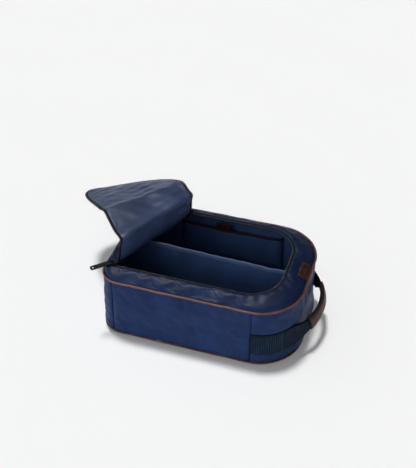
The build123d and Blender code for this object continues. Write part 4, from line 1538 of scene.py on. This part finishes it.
# Lengths are metres from here on.
FLOOR_HALF = 30
FLOOR_ALBEDO = 0.8
FLOOR_GLOW = 0.13
SKY_COLOUR = (0.96, 0.98, 1.0, 1)
SKY_LEAN = 0.7
SKY_RANGE = (-0.7, 0.8, 0.36, 0.04)
GLOSS_SIZE = (0.9, 0.7)
GLOSS_ENERGY = 90
GLOSS_PLACE = (-0.45, -0.1, 2.0)
GLOSS_TOWARDS = (-0.35, -0.1, 2.0)
floor_paint = Nodes("floor")
floor_paint.finish((FLOOR_ALBEDO, FLOOR_ALBEDO, FLOOR_ALBEDO, 1), 0.9, Specular_IOR_Level=0.0,
                   Emission_Color=(1, 1, 1, 1), Emission_Strength=FLOOR_GLOW)
floor_mesh = bpy.data.meshes.new("floor")
floor_corners = [(x * FLOOR_HALF, y * FLOOR_HALF, 0) for x, y in ((-1, -1), (1, -1), (1, 1), (-1, 1))]
floor_mesh.from_pydata(floor_corners, [], [(0, 1, 2, 3)])
floor_mesh.materials.append(floor_paint.material)
floor_object = linked("floor", floor_mesh)

world = bpy.data.worlds.new("studio")
bpy.context.scene.world = world
world.use_nodes = True
sky = world.node_tree.nodes
links = world.node_tree.links
direction = sky.new("ShaderNodeTexCoord").outputs["Generated"]
sides = sky.new("ShaderNodeSeparateXYZ")
links.new(direction, sides.inputs[0])
glow = sky.new("ShaderNodeMapRange")
lean = sky.new("ShaderNodeMath")
lean.operation = "MULTIPLY_ADD"
links.new(sides.outputs[1], lean.inputs[0])
lean.inputs[1].default_value = SKY_LEAN
links.new(sides.outputs[0], lean.inputs[2])
links.new(lean.outputs[0], glow.inputs[0])
for socket, value in zip(list(glow.inputs)[1:5], SKY_RANGE):
    socket.default_value = value
sky["Background"].inputs[0].default_value = SKY_COLOUR
links.new(glow.outputs[0], sky["Background"].inputs[1])
floor_only = bpy.data.collections.new("floor_only")
floor_only.objects.link(floor_object)
all_but_floor = bpy.data.collections.new("all_but_floor")
all_but_floor.objects.link(floor_object)
all_but_floor.collection_objects[0].light_linking.link_state = "EXCLUDE"


def sun(name, towards, strength, spread, receivers):
    """Even light from a direction, with a spread in degrees, on the objects of a collection."""
    data = bpy.data.lights.new(name, "SUN")
    data.energy = strength
    data.angle = math.radians(spread)
    lamp = linked(name, data)
    aimed(lamp, towards)
    lamp.light_linking.receiver_collection = receivers


sun("floor_key", (-0.14, 0.14, 1.0), 2.50, 9, floor_only)
sun("key", (-0.4, 0.12, 1.0), 0.26, 20, all_but_floor)
sun("front_fill", (-0.8, -0.75, 0.38), 0.86, 50, all_but_floor)
gloss_data = bpy.data.lights.new("gloss_box", "AREA")
gloss_data.shape = "RECTANGLE"
gloss_data.size, gloss_data.size_y = GLOSS_SIZE
gloss_data.energy = GLOSS_ENERGY
gloss_box = linked("gloss_box", gloss_data)
gloss_box.location = GLOSS_PLACE
aimed(gloss_box, GLOSS_TOWARDS)
gloss_box.visible_diffuse = False

VIEW_AZIMUTH = math.radians(17.82)
VIEW_ELEVATION = math.radians(39.2)
VIEW_PLACE = Vector((0.3669, -1.1768, 1.1836))
VIEW_LENS = 68.684
camera_data = bpy.data.cameras.new("camera")
camera_data.sensor_width = 36.0
camera_data.lens = VIEW_LENS
camera = linked("camera", camera_data)
back = Vector((math.sin(VIEW_AZIMUTH) * math.cos(VIEW_ELEVATION),
               -math.cos(VIEW_AZIMUTH) * math.cos(VIEW_ELEVATION), math.sin(VIEW_ELEVATION)))
camera.location = VIEW_PLACE
aimed(camera, -back, "-Z")
bpy.context.scene.camera = camera
bpy.context.scene.view_settings.view_transform = "Standard"
